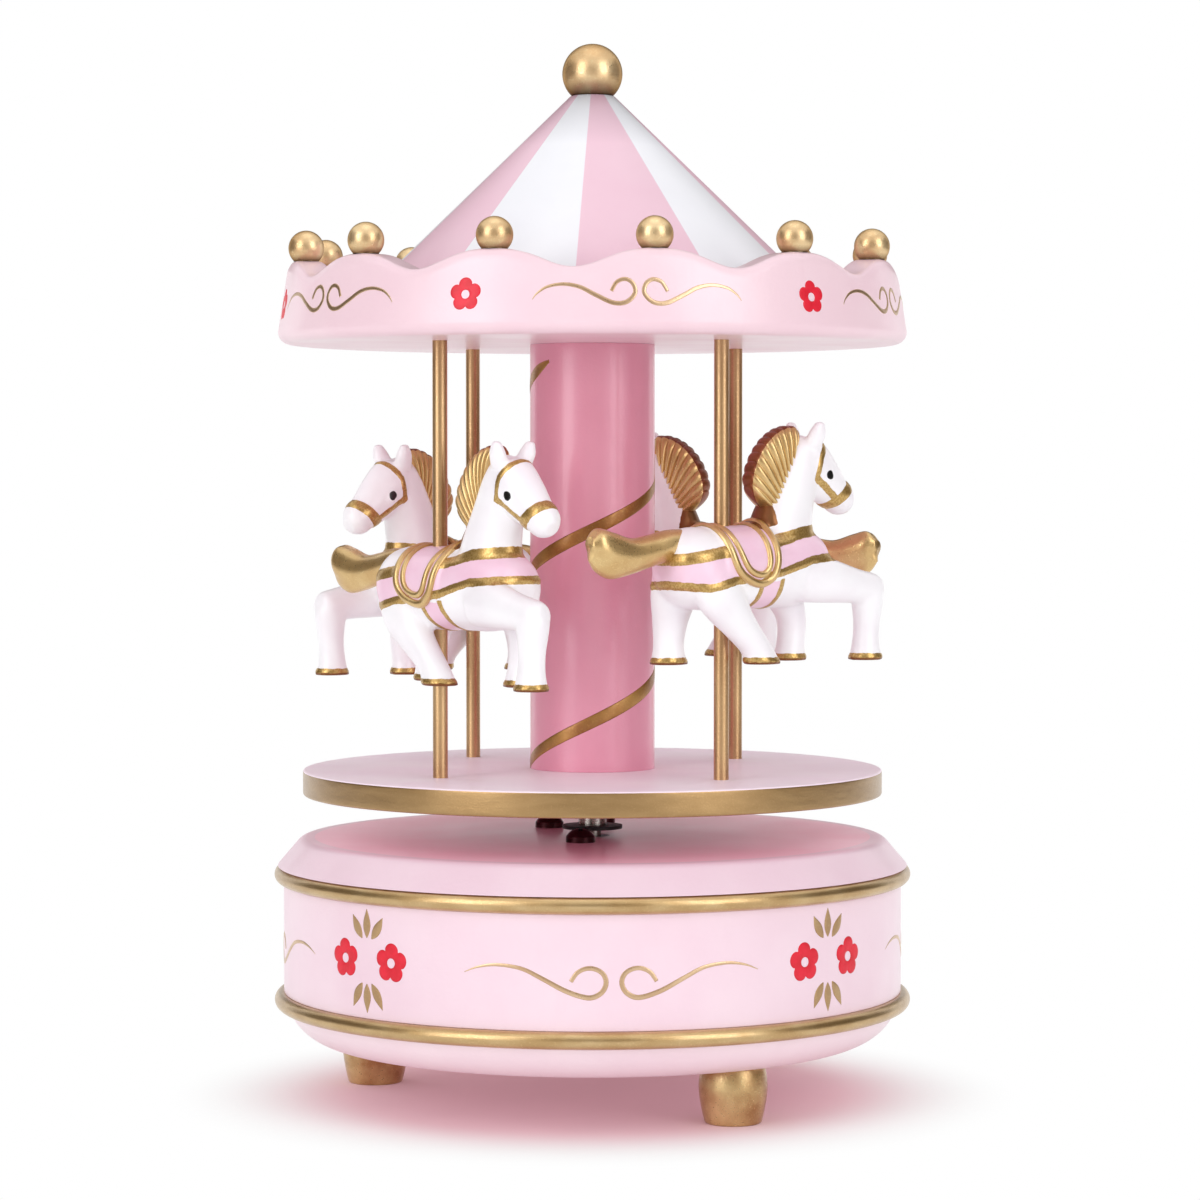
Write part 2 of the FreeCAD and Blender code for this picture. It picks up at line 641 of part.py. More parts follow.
def make_horse():
    """One moulded horse: barrel, neck, head, ears, mane, tail, four legs and a raised saddle cloth."""
    s = leg_spread
    barrel = limb([
        (-12.4, 0, 16.2, 0, 2.2, 2.2), (-11.0, 0, 16.1, 0, 5.2, 4.9), (-7.0, 0, 15.8, 0, 6.8, 6.6),
        (0, 0, 15.5, 0, 6.6, 6.7), (8, 0, 15.6, 0, 6.7, 6.7), (15, 0, 15.9, 0, 6.9, 6.3),
        (20, 0, 16.0, 0, 5.2, 5.0), (21.8, 0, 16.0, 0, 2.2, 2.2)])
    neck = limb([
        (11.5, 0, 15.0, 72, 6.6, 5.0), (13.2, 0, 21.5, 74, 6.0, 4.4), (15.2, 0, 28.0, 70, 4.9, 3.7),
        (17.2, 0, 33.0, 66, 4.3, 3.5), (18.4, 0, 36.0, 60, 3.0, 2.7), (18.9, 0, 37.2, 60, 1.2, 1.2)])
    head = limb([
        (15.8, 0, 35.2, -38, 2.4, 2.2), (18.6, 0, 33.4, -38, 4.6, 3.6), (22.2, 0, 30.6, -38, 4.1, 3.3),
        (25.2, 0, 28.2, -36, 3.1, 2.8), (27.4, 0, 26.6, -34, 2.7, 2.6), (28.7, 0, 25.7, -32, 1.4, 1.4)])
    pieces = [barrel, neck, head]
    for side in [-1, 1]:
        pieces.append(limb([
            (18.2, 2.3 * side, 35.6, 80, 1.6, 1.3), (18.8, 3.2 * side, 38.2, 80, 1.4, 1.0),
            (19.2, 3.8 * side, 40.3, 80, 0.4, 0.35)]))
    locks = 10
    mane = []
    for lock in range(locks):
        share = lock / (locks - 1.0)
        turn = math.radians(62 + 118 * share)
        root = Vector(14.6 - 4.2 * share, 0, 33.6 - 9.0 * share)
        tip = Vector(13.6 + 7.2 * math.cos(turn), 0, 30.6 + 8.0 * math.sin(turn) - 3.4 * share)
        way = tip.sub(root)
        mane.append(Part.makeCone(1.7, 1.45, way.Length, root, way).fuse(Part.makeSphere(1.45, tip)))
    pieces.append(joined(mane))
    pieces.append(limb([
        (-7.0, 0, 19.6, 180, 2.6, 2.4), (-12.0, 0, 19.1, 180, 2.5, 2.2), (-16.0, 0, 18.6, 180, 2.6, 2.1),
        (-20.0, 0, 18.4, 180, 3.5, 2.4), (-24.0, 0, 18.6, 180, 4.3, 2.5), (-27.0, 0, 18.8, 180, 3.9, 2.2),
        (-28.4, 0, 18.8, 180, 1.9, 1.1)]))
    # right fore: the upper arm reaches forward and the shin hangs from a square knee
    pieces.append(limb([
        (14.0, -s + 0.6, 14.0, -4, 4.2, 2.8), (20.0, -s, 13.4, -4, 3.8, 2.9), (26.0, -s - 0.2, 12.4, -8, 3.0, 2.7),
        (30.5, -s - 0.2, 11.6, -8, 2.7, 2.5), (31.6, -s - 0.2, 11.4, -8, 1.3, 1.3)]))
    pieces.append(limb([
        (29.2, -s - 0.2, 13.2, -90, 1.6, 1.6), (29.2, -s - 0.2, 11.0, -92, 2.9, 2.6),
        (29.0, -s - 0.2, 6.0, -92, 2.3, 2.2), (28.8, -s - 0.2, 2.6, -92, 2.4, 2.3),
        (28.8, -s - 0.2, 0.0, -90, 3.0, 2.8)]))
    # left fore: down from the shoulder and a little back
    pieces.append(limb([
        (15.5, 0.9 * s, 14.5, -80, 4.4, 2.6), (17.4, 0.8 * s, 10.0, -86, 3.6, 2.7),
        (18.4, 0.65 * s, 6.4, -96, 2.7, 2.4), (18.0, 0.6 * s, 2.6, -96, 2.5, 2.3),
        (17.7, 0.6 * s, 0.0, -90, 3.1, 2.7)]))
    # right hind: swings forward under the belly
    pieces.append(limb([
        (-6.0, -s + 0.4, 16.0, -70, 5.0, 2.8), (-3.8, -s, 11.0, -62, 4.5, 2.9), (0.0, -s, 6.6, -50, 3.1, 2.5),
        (3.4, -s, 3.0, -58, 2.6, 2.3), (5.2, -s, 0.0, -90, 3.3, 2.7)]))
    # left hind: down and a little back
    pieces.append(limb([
        (-6.0, s - 0.4, 16.0, -96, 5.0, 2.8), (-6.8, s, 11.0, -98, 4.4, 2.9), (-7.6, s, 6.4, -94, 3.1, 2.6),
        (-7.9, s, 2.8, -90, 2.7, 2.4), (-7.8, s, 0.0, -90, 3.3, 2.8)]))
    cloth = limb([(-4.5, 0, 15.6, 0, 7.0, 7.1), (1.5, 0, 15.5, 0, 7.1, 7.25), (7.5, 0, 15.6, 0, 7.2, 7.2)])
    cloth = cloth.common(block(-9, 12, -12, 12, 12.0, 30))
    pieces.append(cloth)
    return joined(pieces).cut(rod(pole_r + glue_fit, -1, 45))


horse = make_horse()
for number, place in enumerate(pole_places):
    heading = pole_angle + 180 + 90 * number + 90 + horse_yaw[number]
    save("horse_%d" % (number + 1), moved(horse, place.x, place.y, hoof_height[number], heading))
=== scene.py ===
import bmesh
import bpy
import numpy as np
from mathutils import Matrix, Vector
from mathutils.bvhtree import BVHTree


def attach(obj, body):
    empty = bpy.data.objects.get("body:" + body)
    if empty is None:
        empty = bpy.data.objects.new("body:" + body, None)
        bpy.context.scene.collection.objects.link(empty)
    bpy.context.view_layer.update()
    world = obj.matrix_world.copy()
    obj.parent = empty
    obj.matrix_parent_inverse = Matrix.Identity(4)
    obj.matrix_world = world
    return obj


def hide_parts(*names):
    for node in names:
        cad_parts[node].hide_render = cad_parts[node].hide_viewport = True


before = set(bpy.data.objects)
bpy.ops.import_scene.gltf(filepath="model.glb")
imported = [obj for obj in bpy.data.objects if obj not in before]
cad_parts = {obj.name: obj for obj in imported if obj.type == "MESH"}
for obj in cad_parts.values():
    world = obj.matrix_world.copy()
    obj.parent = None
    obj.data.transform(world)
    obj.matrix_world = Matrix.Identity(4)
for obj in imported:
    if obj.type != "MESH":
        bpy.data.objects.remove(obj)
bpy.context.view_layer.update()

# Studio: a white floor with a painted pink shadow under the object and a faint glow that lights it from
# below, soft boxes round and above it, fills that leave no reflection, and the camera of the photograph. A
# tan card in front and dark cards at the sides and behind show only in reflections, where they give the
# gilding its brown bands.
scene = bpy.context.scene
scene.view_settings.view_transform = "Standard"
camera_place = Vector((0.0013, -0.653, 0.1066))
camera_target = Vector((0.0013, 0.0, 0.0848))
camera = bpy.data.objects.new("camera", bpy.data.cameras.new("camera"))
camera.data.sensor_width = 36.0
camera.data.lens = 114.0
camera.location = camera_place
camera.rotation_euler = (camera_target - camera_place).to_track_quat("-Z", "Y").to_euler()
scene.collection.objects.link(camera)
scene.camera = camera


def combined(tree, operation, first, second, clamp=False):
    """Sum or product of two outputs, held between 0 and 1 where it is clamped."""
    node = tree.nodes.new("ShaderNodeMath")
    node.operation = operation
    node.use_clamp = clamp
    tree.links.new(first, node.inputs[0])
    tree.links.new(second, node.inputs[1])
    return node.outputs[0]


def seen_rays(tree):
    """One where a ray comes from the camera, a reflection or a transmission, and zero for the light itself:
    the three shares of the light path, added up."""
    path = tree.nodes.new("ShaderNodeLightPath")
    pair = combined(tree, "ADD", path.outputs["Is Camera Ray"], path.outputs["Is Glossy Ray"])
    return combined(tree, "ADD", pair, path.outputs["Is Transmission Ray"], True)


room_light = 0.48
white_light = (1.0, 1.0, 1.0, 1.0)
world = bpy.data.worlds.new("studio")
world.use_nodes = True
scene.world = world
room = world.node_tree
soft = room.nodes["Background"]
soft.inputs["Color"].default_value = white_light
soft.inputs["Strength"].default_value = room_light
white = room.nodes.new("ShaderNodeBackground")
white.inputs["Color"].default_value = white_light
either = room.nodes.new("ShaderNodeMixShader")
room.links.new(seen_rays(room), either.inputs["Fac"])
room.links.new(soft.outputs[0], either.inputs[1])
room.links.new(white.outputs[0], either.inputs[2])
room.links.new(either.outputs[0], room.nodes["World Output"].inputs["Surface"])

lamp_aim = Vector((0.0, 0.0, 0.09))


def soft_box(name, azimuth, height, distance, width, tall, watts, shines=True):
    """Area lamp aimed at the middle of the object from an azimuth in degrees, with 0 at the front. A lamp
    that does not shine lights the paint but leaves no reflection in it."""
    lamp = bpy.data.objects.new(name, bpy.data.lights.new(name, "AREA"))
    lamp.data.shape = "RECTANGLE"
    lamp.data.size = width
    lamp.data.size_y = tall
    lamp.data.energy = watts
    turn = np.radians(azimuth - 90.0)
    lamp.location = (distance * np.cos(turn), distance * np.sin(turn), height)
    lamp.rotation_euler = (lamp_aim - lamp.location).to_track_quat("-Z", "Y").to_euler()
    lamp.visible_camera = False
    lamp.visible_glossy = shines
    scene.collection.objects.link(lamp)


soft_box("left_box", -45, 0.48, 1.0, 0.45, 0.9, 3.4)
soft_box("right_box", 45, 0.48, 1.0, 0.45, 0.9, 2.9)
soft_box("back_left_box", -135, 0.36, 1.0, 0.45, 0.9, 2.4, shines=False)
soft_box("back_right_box", 135, 0.36, 1.0, 0.45, 0.9, 2.4, shines=False)
soft_box("top_box", 0, 1.1, 0.05, 0.7, 0.7, 0.9)
soft_box("front_fill", 0, 0.14, 1.3, 1.0, 0.5, 3.5, shines=False)
soft_box("right_fill", 90, 0.12, 1.3, 1.0, 0.5, 0.8, shines=False)
soft_box("back_fill", 180, 0.12, 1.3, 1.0, 0.5, 2.1, shines=False)
soft_box("left_fill", 270, 0.12, 1.3, 1.0, 0.5, 0.8, shines=False)


def spread(tree, value, low, high, to_low=0.0, to_high=1.0, curve="LINEAR"):
    """Value stretched from between low and high to between two others, and held at the ends."""
    range_node = tree.nodes.new("ShaderNodeMapRange")
    range_node.interpolation_type = curve
    range_node.inputs["From Min"].default_value = low
    range_node.inputs["From Max"].default_value = high
    range_node.inputs["To Min"].default_value = to_low
    range_node.inputs["To Max"].default_value = to_high
    tree.links.new(value, range_node.inputs["Value"])
    return range_node.outputs["Result"]


def blended(tree, share, first, second):
    """Colour between two, by a share from 0 to 1. Each is a colour or another node's output."""
    mix = tree.nodes.new("ShaderNodeMix")
    mix.data_type = "RGBA"
    tree.links.new(share, mix.inputs["Factor"])
    for socket, colour in [("A", first), ("B", second)]:
        if isinstance(colour, tuple):
            mix.inputs[socket].default_value = colour
        else:
            tree.links.new(colour, mix.inputs[socket])
    return mix.outputs["Result"]


floor_half = 4.0
floor_pale, floor_lift = 0.80, 0.12
shade_from, shade_to = 0.040, 0.074
floor_white = (floor_pale, floor_pale, floor_pale, 1.0)
# Near the object the floor's colour and glow turn pink: a painted pink shadow over the one the lamps cast.
floor_shadow_pink = (floor_pale, 0.76 * floor_pale, 0.80 * floor_pale, 1.0)
lift_shadow_pink = (1.0, 0.62, 0.68, 1.0)
floor_corners = [(-floor_half, -floor_half), (floor_half, -floor_half), (floor_half, floor_half),
                 (-floor_half, floor_half)]
floor_mesh = bpy.data.meshes.new("floor")
floor_mesh.from_pydata([(x, y, 0.0) for x, y in floor_corners], [], [(0, 1, 2, 3)])
floor = bpy.data.objects.new("floor", floor_mesh)
scene.collection.objects.link(floor)
floor_paint = bpy.data.materials.new("floor_white")
floor_paint.use_nodes = True
tree = floor_paint.node_tree
tree.nodes.remove(tree.nodes["Principled BSDF"])
place = tree.nodes.new("ShaderNodeTexCoord").outputs["Object"]
reach = tree.nodes.new("ShaderNodeVectorMath")
reach.operation = "LENGTH"
tree.links.new(place, reach.inputs[0])
cleared = spread(tree, reach.outputs["Value"], shade_from, shade_to, curve="SMOOTHSTEP")
matt = tree.nodes.new("ShaderNodeBsdfDiffuse")
tree.links.new(blended(tree, cleared, floor_shadow_pink, floor_white), matt.inputs["Color"])
# The floor glows faintly for every ray, so it lights the object from below like a lamp.
lift = tree.nodes.new("ShaderNodeEmission")
lift.inputs["Strength"].default_value = floor_lift
tree.links.new(blended(tree, cleared, lift_shadow_pink, white_light), lift.inputs["Color"])
shade = tree.nodes.new("ShaderNodeAddShader")
tree.links.new(matt.outputs[0], shade.inputs[0])
tree.links.new(lift.outputs[0], shade.inputs[1])
bright = tree.nodes.new("ShaderNodeEmission")
sweep = tree.nodes.new("ShaderNodeMixShader")
tree.links.new(combined(tree, "MULTIPLY", cleared, seen_rays(tree)), sweep.inputs["Fac"])
tree.links.new(shade.outputs[0], sweep.inputs[1])
tree.links.new(bright.outputs[0], sweep.inputs[2])
tree.links.new(sweep.outputs[0], tree.nodes["Material Output"].inputs["Surface"])
floor_mesh.materials.append(floor_paint)

card_paints = {}
for name, tone in (("card_tan", (0.34, 0.30, 0.26, 1.0)), ("card_dark", (0.10, 0.075, 0.055, 1.0))):
    card_paints[name] = bpy.data.materials.new(name)
    card_paints[name].use_nodes = True
    tree = card_paints[name].node_tree
    card_glow = tree.nodes.new("ShaderNodeEmission")
    card_glow.inputs["Color"].default_value = tone
    tree.links.new(card_glow.outputs[0], tree.nodes["Material Output"].inputs["Surface"])
card_reach, card_low, card_tall = 0.95, 0.005, 0.75
cards = [("card_tan", 0, 22, 0.0), ("card_dark", 98, 32, 0.0), ("card_dark", 180, 34, 0.24),
         ("card_dark", 262, 32, 0.0)]
for number, (paint_name, azimuth, half_swing, raised) in enumerate(cards):
    swing = np.radians(azimuth - 90.0 + np.linspace(-half_swing, half_swing, 9))
    foot = np.full(9, card_low + raised)
    low = np.stack([card_reach * np.cos(swing), card_reach * np.sin(swing), foot], axis=1)
    card_mesh = bpy.data.meshes.new("card")
    card_mesh.from_pydata(np.vstack([low, low + [0, 0, card_tall]]).tolist(), [],
                          [(k, k + 1, k + 10, k + 9) for k in range(8)])
    card_mesh.materials.append(card_paints[paint_name])
    card = bpy.data.objects.new("card_%d" % number, card_mesh)
    scene.collection.objects.link(card)
    card.visible_camera = False
    card.visible_diffuse = False
    card.visible_shadow = False
    card.visible_transmission = False

# Feet: three turned wooden barrels, a little fuller above the middle, glued into the bottom board by a tenon.
# They are brushed with gold paint that lies thin and brown in patches.
foot_circle, foot_angles = 39.4, [-54.0, 55.0, 165.0]
foot_high, tenon_r, tenon_high = 9.4, 2.5, 12.4


def srgb(red, green, blue):
    """Linear colour of a screen colour given from 0 to 255: the standard curve with its straight foot."""
    value = np.array([red, green, blue]) / 255.0
    line = np.where(value <= 0.04045, value / 12.92, ((value + 0.055) / 1.055) ** 2.4)
    return (*line.tolist(), 1.0)


def fresh_finish(name):
    """New material with its tree, its shader and the object coordinates that its patterns read."""
    finish = bpy.data.materials.new(name)
    finish.use_nodes = True
    nodes = finish.node_tree.nodes
    place = nodes.new("ShaderNodeTexCoord").outputs["Object"]
    return finish, finish.node_tree, nodes["Principled BSDF"], place


def speckle(tree, place, per_metre, detail=3.0, stretch=(1, 1, 1)):
    """Noise from 0 to 1 with so many grains to the metre, drawn out by the stretch along each axis."""
    squeeze = tree.nodes.new("ShaderNodeMapping")
    squeeze.inputs["Scale"].default_value = stretch
    tree.links.new(place, squeeze.inputs["Vector"])
    noise = tree.nodes.new("ShaderNodeTexNoise")
    noise.inputs["Scale"].default_value = per_metre
    noise.inputs["Detail"].default_value = detail
    tree.links.new(squeeze.outputs["Vector"], noise.inputs["Vector"])
    return noise.outputs["Fac"]


def height_share(tree, place, low, high):
    """Share that is 0 at the low height and 1 at the high one, both in mm above the floor."""
    split = tree.nodes.new("ShaderNodeSeparateXYZ")
    tree.links.new(place, split.inputs["Vector"])
    return spread(tree, split.outputs["Z"], 0.001 * low, 0.001 * high)


def relief(tree, shader, value, depth, under=None):
    """Bump of a value with a depth in metres, over another bump where there is one."""
    bump = tree.nodes.new("ShaderNodeBump")
    bump.inputs["Distance"].default_value = depth
    tree.links.new(value, bump.inputs["Height"])
    if under is not None:
        tree.links.new(under, bump.inputs["Normal"])
    tree.links.new(bump.outputs["Normal"], shader.inputs["Normal"])
    return bump.outputs["Normal"]


umber = srgb(58, 32, 20)
rim_tint = (0.40, 0.26, 0.16, 1.0)


def gold_paint(name, bright, brown, metal=0.85, rough=(0.30, 0.46), brush=(1, 1, 1), worn=0.5, coat=0.4,
               seat=None):
    """Bronze-powder paint: fine bright flakes in a brown varnish, thinner in broad brushed patches. Between
    the two heights of a seat it darkens to umber, a painted shade where the piece meets what it sits on."""
    finish, tree, shader, place = fresh_finish(name)
    flakes = speckle(tree, place, 3200, 2.0)
    patches = speckle(tree, place, 170, 4.0, brush)
    body = blended(tree, spread(tree, patches, 0.36, 0.36 + worn), brown, bright)
    pale = tuple(min(1.0, 1.25 * c) for c in bright[:3]) + (1.0,)
    body = blended(tree, spread(tree, flakes, 0.55, 0.80, 0.0, 0.30), body, pale)
    # The umber between the seat's heights is painted shade at the contact.
    if seat is not None:
        body = blended(tree, height_share(tree, place, *seat), umber, body)
        shader.inputs["Specular Tint"].default_value = rim_tint
    tree.links.new(body, shader.inputs["Base Color"])
    tree.links.new(spread(tree, flakes, 0.3, 0.7, rough[1], rough[0]), shader.inputs["Roughness"])
    shader.inputs["Metallic"].default_value = metal
    shader.inputs["Coat Weight"].default_value = coat
    shader.inputs["Coat Roughness"].default_value = 0.2
    under = relief(tree, shader, patches, 0.00006)
    relief(tree, shader, flakes, 0.00002, under)
    return finish


def eased_profile(corners, loop=False, spacing=1.2):
    """Turning profile through corners (r, z, ease) in mm. Each corner becomes a curve that starts and ends at
    the ease along its two sides, with the corner as its control point, and long runs are divided evenly."""
    table = np.array(corners, float)
    spots = table[:, :2]
    share = np.linspace(0, 1, 8)[:, None]
    runs = []
    for spot, ease, last, following in zip(spots, table[:, 2], np.roll(spots, 1, 0), np.roll(spots, -1, 0)):
        if ease == 0:
            runs.append(spot[None])
            continue
        start = spot + (last - spot) * ease / np.linalg.norm(last - spot)
        end = spot + (following - spot) * ease / np.linalg.norm(following - spot)
        runs.append((1 - share) ** 2 * start + 2 * share * (1 - share) * spot + share ** 2 * end)
    line = np.vstack(runs + ([runs[0][:1]] if loop else []))
    gaps = np.linalg.norm(np.diff(line, axis=0), axis=1)
    counts = np.maximum(1, np.ceil(gaps / spacing)).astype(int)
    steps = [k + np.arange(count) / count for k, count in enumerate(counts)]
    steps = np.concatenate(steps + ([] if loop else [[len(line) - 1.0]]))
    return np.stack([np.interp(steps, np.arange(len(line)), line[:, k]) for k in (0, 1)], axis=1)


def flowing(points, count):
    """Smooth curve through points: between two of them it is the cubic whose slopes come from their
    neighbours."""
    knots = np.array(points, float)
    knots = np.vstack([2 * knots[0] - knots[1], knots, 2 * knots[-1] - knots[-2]])
    along = np.linspace(0, len(points) - 1 - 1e-9, count)
    k = along.astype(int)
    f = (along - k)[:, None]
    a, b, c, d = knots[k], knots[k + 1], knots[k + 2], knots[k + 3]
    bowed = 2 * b + (c - a) * f + (2 * a - 5 * b + 4 * c - d) * f ** 2
    return 0.5 * (bowed + (3 * b - a - 3 * c + d) * f ** 3)


def turned(profile, sides=192, circle=0.0, place=0.0, start=0.0):
    """Grid of a profile turned about an upright axis: each (r, z) goes round in even steps from a start. The
    axis stands on a circle about the middle, at the angle of its place."""
    turn = start + np.linspace(0, 2 * np.pi, sides, endpoint=False)
    r, z = profile[:, :1], profile[:, 1:]
    x, y = circle * np.cos(place), circle * np.sin(place)
    return np.stack([x + r * np.cos(turn), y + r * np.sin(turn), z + 0 * turn], axis=-1)


def quad_mesh(name, spots, quads):
    """Mesh in metres from points in mm and four point numbers to the face."""
    shape = bpy.data.meshes.new(name)
    shape.vertices.add(len(spots))
    shape.vertices.foreach_set("co", (0.001 * spots).astype(np.float32).ravel())
    shape.loops.add(quads.size)
    shape.loops.foreach_set("vertex_index", quads.astype(np.int32).ravel())
    shape.polygons.add(len(quads))
    shape.polygons.foreach_set("loop_start", np.arange(0, quads.size, 4, dtype=np.int32))
    return shape


def make_piece(name, grids, finishes, body, slot, *nodes):
    """Piece from grids of points in mm, each given as (points, rows closed, columns closed, finish number).
    Four neighbours make a face, doubled points are merged, and the faces are turned outwards."""
    spots, quads, marks, first = [], [], [], 0
    for points, rows_closed, columns_closed, mark in grids:
        rows, columns = points.shape[:2]
        i, j = np.meshgrid(np.arange(rows - (not rows_closed)), np.arange(columns - (not columns_closed)),
                           indexing="ij")
        after_i, after_j = (i + 1) % rows, (j + 1) % columns
        ring = [i * columns + j, after_i * columns + j, after_i * columns + after_j, i * columns + after_j]
        quads.append(np.stack(ring, axis=-1).reshape(-1, 4) + first)
        marks.append(np.broadcast_to(mark, i.shape).ravel())
        spots.append(points.reshape(-1, 3))
        first += rows * columns
    spots, quads, marks = np.vstack(spots), np.vstack(quads), np.concatenate(marks)
    shape = quad_mesh(name, spots, quads)
    shape.polygons.foreach_set("material_index", marks.astype(np.int32))
    shape.update(calc_edges=True)
    work = bmesh.new()
    work.from_mesh(shape)
    bmesh.ops.remove_doubles(work, verts=work.verts, dist=2e-6)
    bmesh.ops.recalc_face_normals(work, faces=work.faces)
    work.to_mesh(shape)
    work.free()
    shape.shade_smooth()
    for finish in finishes:
        shape.materials.append(finish)
    piece = bpy.data.objects.new(name, shape)
    scene.collection.objects.link(piece)
    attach(piece, body)
    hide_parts(*nodes)


foot_gold = gold_paint("foot_gold", srgb(236, 214, 154), srgb(166, 122, 74), 0.72, (0.26, 0.40))
foot_sole = [(0, 0), (tenon_r, 0), (4.2, 0), (4.45, 0.02), (4.62, 0.1)]
foot_side = flowing([(4.72, 0.25), (5.05, 1.5), (5.42, 3.4), (5.65, 5.2), (5.66, 6.6), (5.48, 8.2),
                     (5.2, foot_high)], 40)
foot_tenon = [(tenon_r, foot_high), (tenon_r, tenon_high), (0, tenon_high)]
foot_profile = np.vstack([foot_sole, foot_side, foot_tenon])
for number, angle in enumerate(foot_angles):
    barrel = turned(foot_profile, 96, foot_circle, np.radians(angle))
    make_piece("gilt_foot_%d" % (number + 1), [(barrel, False, True, 0)], [foot_gold],
               "base", "gilt_wood", "foot_%d" % (number + 1))

# Bottom board: a turned wooden dish with a rounded edge, sprayed pale pink like the rest of the base; its
# colour is set paler than the wall's, as painted light against the shade under the base. Three countersunk
# screws hold it up under posts inside the wall.
board_low, board_high = foot_high, 15.2
board_flat_r, board_seat_r, board_inside = 44.0, 45.0, 13.0


def lacquer(name, colour, deep, rough=(0.30, 0.40), peel=0.00003, gloss=0.25, shade_heights=None):
    """Sprayed lacquer over turned wood: the colour drifts a little, with faint grain and orange peel. Between
    the two shade heights, where given, it dims as a painted shade."""
    finish, tree, shader, place = fresh_finish(name)
    drift = speckle(tree, place, 55, 3.0)
    fibres = speckle(tree, place, 420, 3.0, (1, 1, 0.25))
    skin = speckle(tree, place, 1500, 1.0)
    body = blended(tree, spread(tree, drift, 0.35, 0.70), colour, deep)
    body = blended(tree, spread(tree, fibres, 0.58, 0.80, 0.0, 0.35), body, deep)
    # Dimming between the shade heights: painted shade.
    if shade_heights is not None:
        shade_colour = tuple(0.62 * c for c in deep[:3]) + (1.0,)
        body = blended(tree, height_share(tree, place, *shade_heights), body, shade_colour)
    tree.links.new(body, shader.inputs["Base Color"])
    tree.links.new(spread(tree, drift, 0.3, 0.7, rough[0], rough[1]), shader.inputs["Roughness"])
    shader.inputs["Coat Weight"].default_value = gloss
    shader.inputs["Coat Roughness"].default_value = 0.18
    shader.inputs["Specular IOR Level"].default_value = 0.25 + gloss
    under = relief(tree, shader, fibres, 0.00002)
    relief(tree, shader, skin, peel, under)
    return finish


# Paler than the wall's pink: painted light against the shade under the base.
board_lit_lacquer = lacquer("board_lit_lacquer", srgb(253, 233, 241), srgb(250, 226, 236))
run, rise = 8.3, 5.8
edge_r = (run * run + rise * rise) / (2 * rise)
sweep = np.linspace(0, np.arcsin(run / edge_r), 28)
board_edge = np.stack([board_flat_r + edge_r * np.sin(sweep),
                       board_low + edge_r * (1 - np.cos(sweep))], axis=1)
board_under = eased_profile([(1, board_low, 0), (board_flat_r - 1, board_low, 0)], spacing=3)
board_rebate = [(board_seat_r, board_high), (board_seat_r, board_inside), (0, board_inside)]
board_profile = np.vstack([[(0, board_low)], board_under, board_edge, board_rebate])
make_piece("painted_bottom_board", [(turned(board_profile), False, True, 0)], [board_lit_lacquer],
           "base", "pink_wood", "bottom_board")


def machined(name, colour, dark, metal=1.0, rough=(0.25, 0.42), turning=(1, 1, 6)):
    """Worked metal: fine tool lines and a little staining between two shades."""
    finish, tree, shader, place = fresh_finish(name)
    lines = speckle(tree, place, 900, 4.0, turning)
    stain = speckle(tree, place, 200, 3.0)
    tree.links.new(blended(tree, spread(tree, stain, 0.35, 0.65), colour, dark), shader.inputs["Base Color"])
    tree.links.new(spread(tree, lines, 0.3, 0.7, rough[0], rough[1]), shader.inputs["Roughness"])
    shader.inputs["Metallic"].default_value = metal
    relief(tree, shader, lines, 0.00002)
    return finish


def finish_nodes(finish, *names):
    """Give CAD nodes that stay in view their finish."""
    for name in names:
        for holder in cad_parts[name].material_slots:
            holder.material = finish


screw_steel = machined("screw_steel", srgb(176, 172, 166), srgb(128, 122, 116))
finish_nodes(screw_steel, "bottom_screw_1", "bottom_screw_2", "bottom_screw_3")

# Movement: a small spring-wound music works under the drum top, with a cast bed, a pressed spring can,
# a pinned brass cylinder, a steel comb and a nylon governor that brakes the train.
cast_zinc = machined("cast_zinc", srgb(168, 170, 172), srgb(132, 134, 138), 0.9, (0.42, 0.60), (1, 1, 1))
worked_brass = machined("worked_brass", srgb(206, 168, 92), srgb(168, 128, 62))
spring_steel = machined("spring_steel", srgb(150, 152, 158), srgb(104, 106, 114), 1.0, (0.20, 0.36))
nylon = machined("nylon", srgb(236, 234, 224), srgb(222, 218, 204), 0.0, (0.40, 0.55), (1, 1, 1))
finish_nodes(cast_zinc, "bedplate", "spring_housing", "cylinder_bracket", "governor_frame")
finish_nodes(worked_brass, "pin_cylinder", "cylinder_pinion", "cylinder_gear", "drive_wheel")
finish_nodes(spring_steel, "mainspring", "comb", "comb_screw_1", "comb_screw_2", "cylinder_axle",
             "governor_arbor", "vane_shaft")
finish_nodes(nylon, "governor_wheel", "vane")

# Drum wall: a turned wooden ring between the two beads, lacquered pink and painted by hand with gold scrolls,
# pairs of red flowers and small gold leaves.
wall_r, wall_in = 53.0, 45.0
seat_r = 51.0
wall_low, wall_high, wall_top = 18.0, 36.7, 39.5
wall_lacquer = lacquer("wall_lacquer", srgb(246, 220, 231), srgb(242, 212, 225))
wall_profile = eased_profile([(wall_in, board_high, 0.1), (seat_r, board_high, 0.1), (seat_r, wall_low, 0),
                              (wall_r, wall_low, 0.2), (wall_r, wall_high, 0.2), (seat_r, wall_high, 0),
                              (seat_r, wall_top, 0.1), (wall_in, wall_top, 0.1)], loop=True)
make_piece("painted_drum_wall", [(turned(wall_profile), True, True, 0)], [wall_lacquer],
           "base", "pink_wood", "drum_wall")


def capped(grid):
    """Grid with both ends drawn together, each to the middle of its own ring."""
    middles = [ring.mean(1, keepdims=True) for ring in (grid[:1], grid[-1:])]
    first, last = [np.repeat(middle, grid.shape[1], axis=1) for middle in middles]
    return np.concatenate([first, grid, last])


